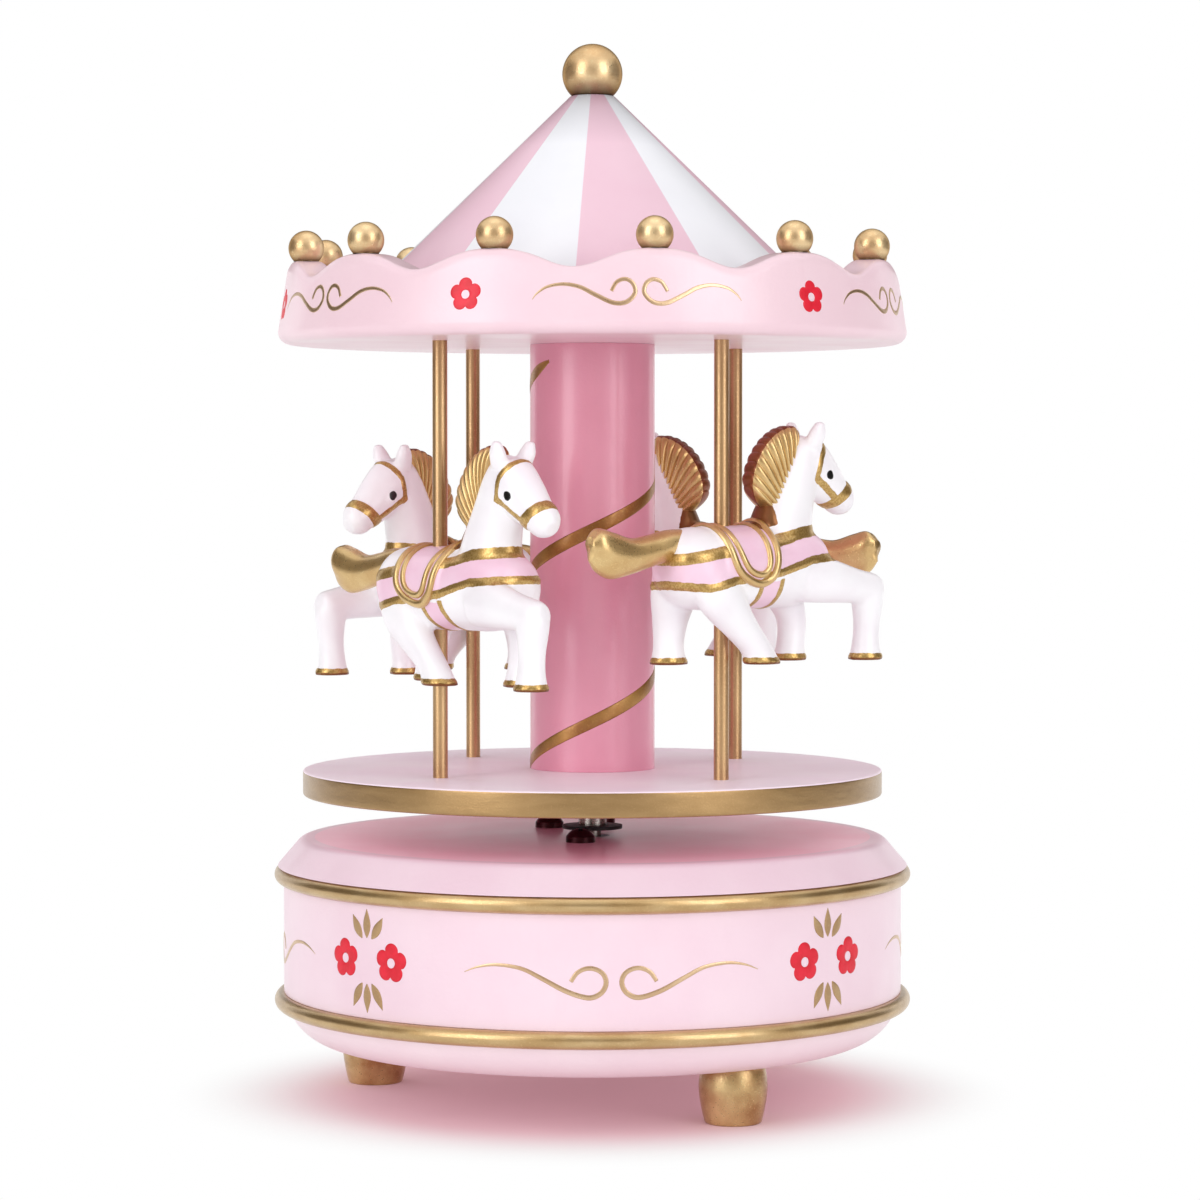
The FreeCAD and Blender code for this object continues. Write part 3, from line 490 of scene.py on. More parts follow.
def brush_stroke(points, widths, lift, count=64):
    """Grid of a brush stroke on the flat: an oval section, as wide as the widths say and as high as the lift,
    is carried along a smooth curve. Columns are (along, up, height above the surface)."""
    path = flowing(points, count)
    half = 0.5 * np.interp(np.linspace(0, 1, count), np.linspace(0, 1, len(widths)), widths)[:, None]
    slope = np.gradient(path, axis=0)
    slope /= np.linalg.norm(slope, axis=1)[:, None]
    side = np.stack([-slope[:, 1], slope[:, 0]], axis=1)
    turn = np.linspace(0, 2 * np.pi, 10, endpoint=False)
    flat = path[:, None, :] + (half * np.cos(turn))[:, :, None] * side[:, None, :]
    height = np.minimum(1.0, 3.0 * half) * lift * np.sin(turn)
    return capped(np.concatenate([flat, height[:, :, None]], axis=2))


def five_petals(size, eye, lift, lean=0.0):
    """Grid of a five-petalled flower with an open eye: at each angle an oval section spans from the eye to
    the petal's edge, which follows the fivefold bow of a cosine."""
    turn = np.linspace(0, 2 * np.pi, 100, endpoint=False)
    bow = np.abs(np.cos(2.5 * (turn - np.pi / 2 - lean)))
    outer = 0.5 * size * (0.66 + 0.34 * bow ** 0.55)
    middle, half = (outer + 0.5 * eye) / 2, (outer - 0.5 * eye) / 2
    around = np.linspace(0, 2 * np.pi, 12, endpoint=False)
    reach = middle[:, None] + half[:, None] * np.cos(around)
    return np.stack([reach * np.cos(turn)[:, None], reach * np.sin(turn)[:, None],
                     lift * np.sin(around) * (0.8 + 0.2 * bow[:, None])], axis=-1)


def on_wall(stroke, angle, height):
    """Lay a flat stroke on the drum wall: along becomes an angle about the axis, with 0 at the front."""
    turn = np.radians(angle - 90.0) + stroke[..., 0] / wall_r
    reach = wall_r + stroke[..., 2]
    return np.stack([reach * np.cos(turn), reach * np.sin(turn), height + stroke[..., 1]], axis=-1)


stroke_lift = 0.07
wall_scroll = [(24.4, 1.0), (22.0, 1.9), (18.8, 2.35), (14.8, 1.85), (11.4, 0.3), (8.0, -1.45), (5.2, -2.45),
               (3.4, -2.6), (1.9, -1.75), (1.25, -0.3), (1.7, 1.1), (2.95, 1.9), (4.4, 2.0), (5.85, 1.3),
               (6.85, -0.1)]
scroll_widths = [0.12, 0.48, 0.66, 0.80, 0.84, 0.84, 0.80, 0.76, 0.72, 0.68]
wall_leaves = [((0.0, 3.8), (0.0, 8.5)), ((-1.1, 3.7), (-3.4, 7.4)), ((1.1, 3.7), (3.6, 7.3)),
               ((0.0, -3.7), (0.1, -8.4)), ((-1.1, -3.6), (-3.3, -7.6)), ((1.1, -3.6), (3.6, -7.7))]
leaf_widths = [0.20, 1.05, 1.55, 1.75, 1.60, 1.20, 0.65, 0.10]
scroll_turn, scroll_level = 3.8, 26.1
spray_turn, leaf_level, flower_level = -43.6, 27.4, 27.5
flower_size, flower_eye, flower_apart = 6.5, 1.6, 5.4
scroll_grids, flower_grids = [], []
for quarter in range(4):
    middle = scroll_turn + 90.0 * quarter
    for hand in (1, -1):
        scroll = brush_stroke(np.array(wall_scroll) * [hand, 1], scroll_widths, stroke_lift, 120)
        scroll_grids.append((on_wall(scroll, middle, scroll_level), False, True, 0))
    spray = spray_turn + 90.0 * quarter
    for start, tip in wall_leaves:
        bend = (0.5 * (start[0] + tip[0]) * 1.06, 0.5 * (start[1] + tip[1]))
        leaf = brush_stroke([start, bend, tip], leaf_widths, stroke_lift, 24)
        scroll_grids.append((on_wall(leaf, spray, leaf_level), False, True, 1))
    for side, lean in ((-flower_apart, 0.08), (flower_apart, -0.05)):
        flower = five_petals(flower_size, flower_eye, stroke_lift, lean) + [side, 0.0, 0.0]
        flower_grids.append((on_wall(flower, spray, flower_level), True, True, 0))
ornament_gold = gold_paint("ornament_gold", srgb(206, 174, 128), srgb(178, 142, 98), 0.55, (0.36, 0.5))
scroll_gold = gold_paint("scroll_gold", srgb(234, 206, 168), srgb(208, 174, 138), 0.9, (0.26, 0.38), coat=0.1)
make_piece("wall_scrolls", scroll_grids, [scroll_gold, ornament_gold], "base", "gilt_wood")


def brushed_colour(name, colour, deep, rough=(0.34, 0.46)):
    """Brushed enamel: one colour that pools darker in patches, with the ridges of the brush."""
    finish, tree, shader, place = fresh_finish(name)
    pools = speckle(tree, place, 500, 3.0)
    ridges = speckle(tree, place, 2200, 2.0)
    tree.links.new(blended(tree, spread(tree, pools, 0.35, 0.68), colour, deep), shader.inputs["Base Color"])
    tree.links.new(spread(tree, ridges, 0.3, 0.7, rough[0], rough[1]), shader.inputs["Roughness"])
    relief(tree, shader, ridges, 0.00003)
    return finish


flower_red = brushed_colour("flower_red", srgb(232, 24, 52), srgb(214, 12, 38))
make_piece("wall_flowers", flower_grids, [flower_red], "base", "pink_wood")

# Bead rings: two half-round wooden mouldings, gilded all over before they are pressed into the rebates at the
# foot and the head of the wall.
bead_root, bead_half = 53.2, 1.4
bead_gold = gold_paint("bead_gold", srgb(216, 188, 140), srgb(190, 156, 106), 0.95, (0.30, 0.40), (1, 1, 3))
for name, low in (("lower_bead", board_high), ("upper_bead", wall_high)):
    bow = np.linspace(-np.pi / 2, np.pi / 2, 25)
    moulding = np.stack([bead_root + bead_half * np.cos(bow), low + bead_half * (1 + np.sin(bow))], axis=1)
    bead_profile = np.vstack([[(seat_r, low)], moulding, [(seat_r, low + 2 * bead_half)]])
    make_piece("gilt_" + name, [(turned(bead_profile, 240), True, True, 0)], [bead_gold],
               "base", "gilt_wood", name)

# Drum top: the lid of the base, turned with a sloping shoulder and a soft edge, glued on by a spigot. Its
# shoulder is lacquered a little darker than the wall and the ring under the turntable a deeper pink, both as
# painted shade. Three round-headed bronzed screws come down through it into the movement's bed.
hub_hole_r, spigot_r, spigot_low = 3.0, 44.95, 38.0
lid_r, lid_flat_r, lid_high = 54.1, 50.0, 44.3
under_table_r = 48.0
# Darker than the wall's pink: painted shade on the shoulder.
shoulder_shade_lacquer = lacquer("shoulder_shade_lacquer", srgb(238, 210, 222), srgb(234, 202, 216), (0.36, 0.46))
shade_lacquer = lacquer("lid_painted_shade", srgb(254, 208, 222), srgb(252, 199, 215), (0.36, 0.46))
lid_profile = eased_profile([(hub_hole_r, spigot_low, 0.1), (spigot_r, spigot_low, 0.1),
                             (spigot_r, wall_top, 0), (lid_r, wall_top, 0.25), (lid_flat_r, lid_high, 1.1),
                             (hub_hole_r, lid_high, 0.2)], loop=True)
# Rows under the turntable take a deeper pink: painted shade where the turntable shadows the lid.
shaded = (lid_profile[:, 0] < under_table_r) & (lid_profile[:, 1] > lid_high - 0.1)
lid_rows = np.where(shaded, 1, 0)[:, None]
make_piece("painted_drum_top", [(turned(lid_profile), True, True, lid_rows)], [shoulder_shade_lacquer, shade_lacquer],
           "base", "pink_wood", "drum_top")
screw_bronze = machined("screw_bronze", srgb(66, 28, 32), srgb(36, 14, 17), 0.8, (0.10, 0.18))
finish_nodes(screw_bronze, "movement_screw_1", "movement_screw_2", "movement_screw_3")

# Hub: the movement's steel arbor with its turned collar and a black fibre washer, left bare. They show only
# in the gap between the drum top and the turntable.
hub_steel = machined("hub_steel", srgb(186, 180, 174), srgb(96, 90, 86), 1.0, (0.08, 0.18), (1, 1, 14))
washer_black = machined("washer_black", srgb(28, 25, 26), srgb(16, 14, 15), 0.0, (0.45, 0.62), (1, 1, 1))
finish_nodes(hub_steel, "winding_arbor", "hub_collar")
finish_nodes(washer_black, "hub_washer")

# Turntable: a turned disc with eased edges, held between the hub's collar and the column. Its top is
# lacquered a paler pink than the base, as painted light against the canopy's shade; its underside is a deeper
# pink, set so that its bounce colours the shade in the gap below; and its whole rim is painted gold.
table_r, table_low, table_high = 49.7, 51.6, 55.9
table_hole_r, under_high = 2.4, 53.0
gilt_in, gilt_down = 0.42, 0.3
# The top's paler pink is painted light; the underside's deeper pink tints the shade in the gap below.
table_lit_lacquer = lacquer("table_lit_lacquer", srgb(252, 235, 245), srgb(248, 227, 240), (0.42, 0.52), gloss=0.05)
under_lacquer = lacquer("under_lacquer", srgb(254, 196, 213), srgb(251, 186, 205), (0.36, 0.46))
table_gold = gold_paint("table_gold", srgb(182, 148, 100), srgb(166, 132, 86), 0.85, (0.30, 0.40), (1, 1, 4))
table_profile = eased_profile([(table_hole_r, table_low, 0.1), (table_r, table_low, 0.5),
                               (table_r, table_high, 0.5), (table_hole_r, table_high, 0.1)],
                              loop=True, spacing=1.0)
gilded = (table_profile[:, 0] > table_r - gilt_in) & (table_profile[:, 1] < table_high - gilt_down)
rim_rows = np.where(gilded, 1, np.where(table_profile[:, 1] < under_high, 2, 0))[:, None]
make_piece("painted_turntable", [(turned(table_profile, 240), True, True, rim_rows)],
           [table_lit_lacquer, table_gold, under_lacquer], "carousel", "pink_wood", "turntable")

# Column: a turned post in a deeper pink, held on the hub's thread and screwed to the canopy,
# with one gold ribbon painted round it in a rising spiral.
column_r, column_low, column_high = 10.7, table_high, 128.6
column_lacquer = lacquer("column_lacquer", srgb(231, 153, 176), srgb(224, 143, 167), (0.28, 0.36), gloss=0.55)
column_profile = eased_profile([(0, column_low, 0), (column_r, column_low, 0.12),
                                (column_r, column_high, 0.12), (0, column_high, 0)], spacing=2.0)
make_piece("painted_column", [(turned(column_profile, 128), False, True, 0)], [column_lacquer],
           "carousel", "column_wood", "column")
ribbon_rise, ribbon_start, ribbon_width, ribbon_lift = 32.5, 64.5, 2.1, 0.06
ribbon_edge, tip_turns = 0.02, 0.05
turns = np.linspace(-0.30, 1.88, 420)
across = np.linspace(0, 2 * np.pi, 12, endpoint=False)
taper = np.clip((turns[-1] - turns) / tip_turns, 0.1, 1.0) ** 0.5
sway = 0.5 * ribbon_width * (taper * (1 + 0.08 * np.sin(9 * turns)))[:, None] * np.cos(across)
level = ribbon_start + ribbon_rise * turns[:, None] + sway
level = np.clip(level, column_low + ribbon_edge, column_high - ribbon_edge)
reach = column_r + ribbon_lift * np.sin(across) + 0 * level
swing = 2 * np.pi * turns[:, None] - np.pi / 2 - 0.2 * sway / column_r
ribbon = np.stack([reach * np.cos(swing), reach * np.sin(swing), level], axis=-1)
ribbon_gold = gold_paint("ribbon_gold", srgb(202, 158, 88), srgb(150, 98, 48), 0.75, (0.30, 0.44))
make_piece("column_ribbon", [(capped(ribbon), False, True, 0)], [ribbon_gold],
           "carousel", "gilt_wood")
finish_nodes(screw_steel, "canopy_screw")

# Poles: four brass tubes with a soft brushed and browned surface, set into holes in the turntable and in the
# canopy's floor. Each carries one horse.
pole_r, pole_circle = 1.25, 33.1
pole_low, pole_high = 52.9, 131.6
pole_turns = np.radians([220.2, 310.2, 40.2, 130.2])
pole_brass = gold_paint("pole_brass", srgb(226, 192, 142), srgb(180, 138, 96), 0.95, (0.28, 0.44),
                        (1, 1, 0.2), 0.45)
pole_profile = eased_profile([(0, pole_low, 0), (pole_r, pole_low, 0.2), (pole_r, pole_high, 0.2),
                              (0, pole_high, 0)], spacing=2.5)
for number, turn in enumerate(pole_turns):
    tube = turned(pole_profile, 32, pole_circle, turn)
    make_piece("brass_pole_%d" % (number + 1), [(tube, False, True, 0)], [pole_brass],
               "carousel", "pole_brass", "pole_%d" % (number + 1))

# Horses: four castings from one mould in white plastic, each pushed on its pole and then painted by hand.
# Own frame: u forward, v left, w up from the hooves, with the pole at u = v = 0.
headings = np.radians([-48.8, 40.2, 148.2, 223.2])
hoof_levels = [71.8, 75.2, 74.0, 71.6]
skin_step, least_half = 0.34, 0.15


def limb(sections, rows=30, columns=36):
    """Closed skin through oval sections (u, v, w, lean, half height, half width): each section stands across
    a limb that runs at its lean above the u axis, and a smooth curve joins the sections."""
    s = flowing(sections, rows)
    turn = np.linspace(0, 2 * np.pi, columns, endpoint=False)
    lean = np.radians(s[:, 3:4])
    rise = np.maximum(s[:, 4:5], least_half) * np.sin(turn)
    across = np.maximum(s[:, 5:6], least_half) * np.cos(turn)
    skin = [s[:, 0:1] - rise * np.sin(lean), s[:, 1:2] + across, s[:, 2:3] + rise * np.cos(lean)]
    return capped(np.stack(skin, axis=-1))


spread_v = 4.3
barrel = [(-12.4, 0, 16.2, 0, 2.2, 2.2), (-11.0, 0, 16.1, 0, 5.2, 4.9), (-7.0, 0, 15.8, 0, 6.8, 6.6),
          (0, 0, 15.5, 0, 6.6, 6.7), (8, 0, 15.6, 0, 6.7, 6.7), (15, 0, 15.9, 0, 6.9, 6.3),
          (20, 0, 16.0, 0, 5.2, 5.0), (21.8, 0, 16.0, 0, 2.2, 2.2)]
neck = [(11.5, 0, 15.0, 72, 6.6, 5.0), (13.2, 0, 21.5, 74, 6.0, 4.4), (15.2, 0, 28.0, 70, 4.9, 3.7),
        (17.2, 0, 33.0, 66, 4.3, 3.5), (18.4, 0, 36.0, 60, 3.0, 2.7), (18.9, 0, 37.2, 60, 1.2, 1.2)]
head = [(15.8, 0, 35.2, -38, 2.4, 2.2), (18.6, 0, 33.4, -38, 4.6, 3.6), (22.2, 0, 30.6, -38, 4.1, 3.3),
        (25.2, 0, 28.2, -36, 3.1, 2.8), (27.4, 0, 26.6, -34, 2.7, 2.6), (28.7, 0, 25.7, -32, 1.4, 1.4)]
pommel = [(4.2, 0, 20.2, 10, 1.5, 3.8), (6.4, 0, 21.6, 25, 1.6, 3.4), (8.4, 0, 22.6, 30, 1.1, 2.4)]
fore_right = [(14.0, -spread_v + 0.6, 14.0, -4, 4.2, 2.8), (20.0, -spread_v, 13.4, -4, 3.8, 2.9),
              (26.0, -spread_v - 0.2, 12.4, -8, 3.0, 2.7), (30.5, -spread_v - 0.2, 11.6, -8, 2.7, 2.5),
              (31.6, -spread_v - 0.2, 11.4, -8, 1.3, 1.3)]
shin_right = [(29.2, -spread_v - 0.2, 13.2, -90, 1.6, 1.6), (29.2, -spread_v - 0.2, 11.0, -92, 2.9, 2.6),
              (29.0, -spread_v - 0.2, 6.0, -92, 2.3, 2.2), (28.8, -spread_v - 0.2, 2.6, -92, 2.4, 2.3),
              (28.8, -spread_v - 0.2, 0.0, -90, 3.0, 2.8)]
fore_left = [(15.5, 0.9 * spread_v, 14.5, -80, 4.4, 2.6), (17.4, 0.8 * spread_v, 10.0, -86, 3.6, 2.7),
             (18.4, 0.65 * spread_v, 6.4, -96, 2.7, 2.4), (18.0, 0.6 * spread_v, 2.6, -96, 2.5, 2.3),
             (17.7, 0.6 * spread_v, 0.0, -90, 3.1, 2.7)]
hind_right = [(-6.0, -spread_v + 0.4, 16.0, -70, 5.0, 2.8), (-3.8, -spread_v, 11.0, -62, 4.5, 2.9),
              (0.0, -spread_v, 6.6, -50, 3.1, 2.5), (3.4, -spread_v, 3.0, -58, 2.6, 2.3),
              (5.2, -spread_v, 0.0, -90, 3.3, 2.7)]
hind_left = [(-6.0, spread_v - 0.4, 16.0, -96, 5.0, 2.8), (-6.8, spread_v, 11.0, -98, 4.4, 2.9),
             (-7.6, spread_v, 6.4, -94, 3.1, 2.6), (-7.9, spread_v, 2.8, -90, 2.7, 2.4),
             (-7.8, spread_v, 0.0, -90, 3.3, 2.8)]
cloth = [(-4.5, 0, 15.9, 0, 6.9, 6.95), (1.5, 0, 15.7, 0, 6.95, 7.05), (7.5, 0, 15.9, 0, 6.95, 7.0)]
cast_parts = (barrel, neck, head, pommel, fore_right, shin_right, fore_left, hind_right, hind_left, cloth)
skins = [limb(part) for part in cast_parts]
for side in (-1, 1):
    ear = [(18.2, 2.3 * side, 35.6, 80, 1.6, 1.3), (18.8, 3.1 * side, 38.0, 80, 1.65, 1.25),
           (19.1, 3.6 * side, 40.0, 80, 0.75, 0.7)]
    eye_swell = [(19.9, 2.2 * side, 31.6, -38, 0.9, 0.9), (21.4, 2.85 * side, 30.6, -38, 1.25, 0.8),
                 (22.9, 2.2 * side, 29.6, -38, 0.9, 0.9)]
    skins += [limb(ear), limb(eye_swell, 12, 16)]
mould_mesh = bpy.data.meshes.new("mould")
counts = np.cumsum([0] + [skin.shape[0] * skin.shape[1] for skin in skins])
mould_faces = []
for skin, first in zip(skins, counts):
    rows, columns = skin.shape[:2]
    i, j = np.meshgrid(np.arange(rows - 1), np.arange(columns), indexing="ij")
    after = (j + 1) % columns
    mould_faces.append(first + np.stack([i * columns + j, i * columns + after, (i + 1) * columns + after,
                                         (i + 1) * columns + j], axis=-1).reshape(-1, 4))
mould_spots = np.vstack([skin.reshape(-1, 3) for skin in skins])
mould_mesh.from_pydata(mould_spots.tolist(), [], np.vstack(mould_faces).tolist())
mould = bpy.data.objects.new("mould", mould_mesh)
scene.collection.objects.link(mould)
fusing = mould.modifiers.new("fusing", "REMESH")
fusing.mode = "VOXEL"
fusing.voxel_size = skin_step
softening = mould.modifiers.new("softening", "SMOOTH")
softening.factor = 0.5
softening.iterations = 9
cast = bpy.data.meshes.new_from_object(mould.evaluated_get(bpy.context.evaluated_depsgraph_get()))


def read_out(items, field, width, kind=np.float32):
    """Array of one field of all a mesh's points or corners, with so many values to the row."""
    values = np.zeros(width * len(items), kind)
    items.foreach_get(field, values)
    return values.reshape(-1, width)


cast_spots = read_out(cast.vertices, "co", 3).astype(float)
cast_normals = read_out(cast.vertices, "normal", 3).astype(float)
cast_faces = read_out(cast.loops, "vertex_index", 1, np.int32).reshape(-1, 4)
bpy.data.objects.remove(mould)

# Paint on the horse: gold straps, bands and hooves, a pink cloth and girth, brown soles, a brown painted
# shade on the pommel under the mane, and black eyes, brushed by hand on the white plastic. Each field is a
# distance in mm from its edge, above zero inside it.
u, v, w = cast_spots.T
wide = np.abs(v)
poll_u, poll_w = 18.6, 33.4
head_along = 0.8 * (u - poll_u) - 0.6 * (w - poll_w)
head_up = 0.6 * (u - poll_u) + 0.8 * (w - poll_w)
on_head = np.minimum(u - 14.5, w - 23.6)
upper_band = np.interp(u, [-16, -5.5, 0, 7, 14, 22], [16.6, 18.4, 18.9, 19.9, 21.5, 22.2])
lower_band = np.interp(u, [-16, -12, -8, -3, 3, 8, 15, 22], [14.4, 13.0, 12.6, 13.8, 14.2, 15.1, 17.0, 17.5])
band_gold = np.maximum(0.95 - np.abs(w - upper_band), 0.70 - np.abs(w - lower_band))
band_gold = np.minimum(band_gold, np.minimum(25.0 - u, 24.0 - w))
between = np.minimum(upper_band - w, w - lower_band)
girth_u = 5.6 + 0.10 * (13.0 - w)
girth_pink = np.minimum(1.9 - np.abs(u - girth_u), np.minimum(13.6 - w, w - 8.2))
girth_gold = np.minimum(0.55 - np.abs(np.abs(u - girth_u) - 2.3), np.minimum(14.0 - w, w - 8.0))
seat = np.minimum(np.minimum(u + 3.4, 7.0 - u), w - (13.8 + 0.16 * (u - 1.7) ** 2))
nose_band = np.minimum(0.95 - np.abs(head_along - 9.0 - 0.25 * head_up), np.minimum(on_head, head_up + 4.2))
brow_band = np.minimum(np.minimum(0.55 - np.abs(head_along - 0.3), head_up - 0.9), on_head)
cheek = np.minimum(1.3 - head_up, head_up + 2.9)
cheek = np.minimum(cheek, 0.55 - np.abs(head_along - 0.3 - 0.42 * (1.0 - head_up)))
jaw = np.minimum(head_along - 1.6, 9.2 - head_along)
jaw = np.minimum(jaw, 0.55 - np.abs(head_up + 2.3 - 0.05 * head_along))
straps = np.minimum(np.maximum(cheek, jaw), np.minimum(on_head, wide - 1.1))
hooves = 1.05 - w
gold_field = np.maximum.reduce([np.minimum(band_gold, -seat), girth_gold, nose_band, brow_band, straps,
                                hooves])
pommel_field = np.minimum(np.minimum(u - 4.6, 9.6 - u), w - 21.9 - 0.3 * np.abs(u - 6.6))
gold_field = np.maximum(gold_field, np.minimum(pommel_field, 3.4 - wide))
pink_field = np.maximum.reduce([np.minimum(between, 23.5 - u), girth_pink, seat])
eye_field = 0.76 - np.sqrt((0.9 * (head_along - 3.7)) ** 2 + (head_up + 0.1) ** 2)
eye_field = np.minimum(eye_field, wide - 1.5)
# Brown on the hoof soles, and on the pommel as painted shade.
soles_and_pommel_shade = np.maximum(0.30 - w, np.minimum(pommel_field, 3.4 - wide))
raised = 0.16 * np.clip(gold_field / 0.5, 0, 1) + 0.10 * np.clip(seat / 0.6, 0, 1)
cast_spots = cast_spots + raised[:, None] * cast_normals
paint = np.clip(0.5 + np.stack([gold_field, pink_field, soles_and_pommel_shade, eye_field], axis=1) / 1.4, 0, 1)

plastic, tree, shader, place = fresh_finish("painted_plastic")
fields = tree.nodes.new("ShaderNodeAttribute")
fields.attribute_name = "paint"
parts = tree.nodes.new("ShaderNodeSeparateColor")
tree.links.new(fields.outputs["Color"], parts.inputs["Color"])
wobble = speckle(tree, place, 900, 2.0)


def painted_where(value):
    """One inside a painted field and zero outside, with a hand's wobble along its edge."""
    shifted = combined(tree, "ADD", value, spread(tree, wobble, 0.3, 0.7, -0.05, 0.05))
    return spread(tree, shifted, 0.47, 0.53)


clouds = speckle(tree, place, 140, 3.0)
flakes = speckle(tree, place, 3200, 2.0)
gold_here = painted_where(parts.outputs["Red"])
milk = blended(tree, spread(tree, clouds, 0.35, 0.7), srgb(252, 250, 253), srgb(247, 242, 247))
rose = blended(tree, spread(tree, clouds, 0.3, 0.7), srgb(248, 214, 232), srgb(244, 200, 222))
strap = blended(tree, spread(tree, flakes, 0.35, 0.7), srgb(176, 138, 76), srgb(212, 178, 112))
coat = blended(tree, painted_where(parts.outputs["Green"]), milk, rose)
coat = blended(tree, gold_here, coat, strap)
# The brown of the hoof soles and the pommel's painted shade.
coat = blended(tree, painted_where(parts.outputs["Blue"]), coat, srgb(132, 84, 46))
coat = blended(tree, painted_where(fields.outputs["Alpha"]), coat, srgb(6, 5, 5))
tree.links.new(coat, shader.inputs["Base Color"])
tree.links.new(spread(tree, gold_here, 0.0, 1.0, 0.0, 0.75), shader.inputs["Metallic"])
tree.links.new(spread(tree, flakes, 0.3, 0.7, 0.36, 0.28), shader.inputs["Roughness"])
shader.inputs["Coat Weight"].default_value = 0.2
shader.inputs["Coat Roughness"].default_value = 0.2
relief(tree, shader, clouds, 0.00008)


def stood(points, number):
    """Points of a horse's own frame, turned to its heading and set on its pole at its height."""
    heading, turn = headings[number], pole_turns[number]
    ahead, left, up = points[..., 0], points[..., 1], points[..., 2]
    return np.stack([pole_circle * np.cos(turn) + ahead * np.cos(heading) - left * np.sin(heading),
                     pole_circle * np.sin(turn) + ahead * np.sin(heading) + left * np.cos(heading),
                     hoof_levels[number] + up], axis=-1)


# Mane, tail and saddle beading: the raised parts of the same casting, gilded all over.
# The mane is a crest of eleven ribbed locks with its outer edge painted brown as shade, the tail a club that
# flares to soft lobes.


def swelled(wave, power):
    """Wave made fuller or sharper: its size is raised to a power and keeps its sign."""
    return np.sign(wave) * np.abs(wave) ** power


ribs = 11
share = np.linspace(0, 1, 221)[:, None]
fan = np.radians(62 + 118 * share)
root = np.concatenate([14.6 - 4.2 * share, 33.6 - 9.0 * share], axis=1)
tip = np.concatenate([13.6 + 7.2 * np.cos(fan), 30.6 + 8.0 * np.sin(fan) - 3.4 * share], axis=1)
rib = np.abs(np.sin(np.pi * ribs * share)) ** 0.7
outward = (tip - root) / np.linalg.norm(tip - root, axis=1)[:, None]
fade_out = np.sqrt(np.maximum(0.0, 1 - (2 * share - 1) ** 10))
loop = np.linspace(0, 2 * np.pi, 48, endpoint=False)
inner, outer = -2.6 - 0.5 * rib, np.linalg.norm(tip - root, axis=1)[:, None] + 1.25 + 0.25 * rib
along = 0.5 * (inner + outer) + 0.5 * (outer - inner) * swelled(np.cos(loop), 0.8) * fade_out
thick = (2.05 + 0.55 * rib) * (0.55 + 0.45 * fade_out) * fade_out
mane = np.stack([root[:, :1] + outward[:, :1] * along, thick * swelled(np.sin(loop), 0.62),
                 root[:, 1:] + outward[:, 1:] * along], axis=-1)
# Columns round the mane's outer edge take the brown: painted shade.
mane_shade_edge = np.where(np.abs((loop + np.pi) % (2 * np.pi) - np.pi + np.pi / 48) < 0.36, 1, 0)[None, :]

tail_rows = flowing([(-7.0, 19.6, 2.6, 2.3), (-12.0, 19.5, 2.65, 2.3), (-16.0, 18.7, 2.7, 2.2),
                     (-20.0, 18.0, 3.05, 2.2), (-24.0, 18.3, 4.0, 2.4), (-26.7, 19.1, 3.7, 2.2),
                     (-28.3, 19.3, 2.0, 1.2)], 60)
flare = np.clip((-10.0 - tail_rows[:, 0:1]) / 14.0, 0, 1)
fluting = 1 - 0.10 * flare ** 2 * (0.5 + 0.5 * np.cos(3 * loop + 1.2)) ** 2
tail_v = tail_rows[:, 3:4] * fluting * np.cos(loop)
tail_w = tail_rows[:, 1:2] + tail_rows[:, 2:3] * fluting * np.sin(loop)
lobes_end = 0.20 * flare ** 3 * np.cos(3 * loop + 1.2)
tail = capped(np.stack([tail_rows[:, 0:1] + lobes_end, tail_v, tail_w], axis=-1))

barrel_w, ray_start = 15.6, 30.0
skin_tree = BVHTree.FromPolygons(cast_spots.tolist(), cast_faces.tolist())


def saddle_bead(knots, half_width, height):
    """Closed bead on the back: knots (u, angle round the barrel) are smoothed on one side and mirrored, each
    point is dropped on the skin, and an oval section follows the loop."""
    half_loop = flowing(knots, 60)
    other = half_loop[::-1][1:-1] * [1, -1] + [0, 180]
    course = np.vstack([half_loop, other])
    rays = np.radians(course[:, 1])
    way = np.stack([0 * rays, -np.cos(rays), np.sin(rays)], axis=1)
    axis = np.stack([course[:, 0], 0 * rays, 0 * rays + barrel_w], axis=1)
    hits = [skin_tree.ray_cast(Vector(a + ray_start * d), Vector(-d)) for a, d in zip(axis, way)]
    spots = np.array([hit[0] for hit in hits])
    for _ in range(3):
        spots = (np.roll(spots, 1, 0) + 2 * spots + np.roll(spots, -1, 0)) / 4
    ahead = np.roll(spots, -1, 0) - np.roll(spots, 1, 0)
    ahead /= np.linalg.norm(ahead, axis=1)[:, None]
    out = way - (way * ahead).sum(1)[:, None] * ahead
    out /= np.linalg.norm(out, axis=1)[:, None]
    side = np.cross(ahead, out)
    ring = np.linspace(0, 2 * np.pi, 12, endpoint=False)
    return (spots[:, None] + half_width * np.cos(ring)[:, None] * side[:, None]
            + height * np.sin(ring)[:, None] * out[:, None])


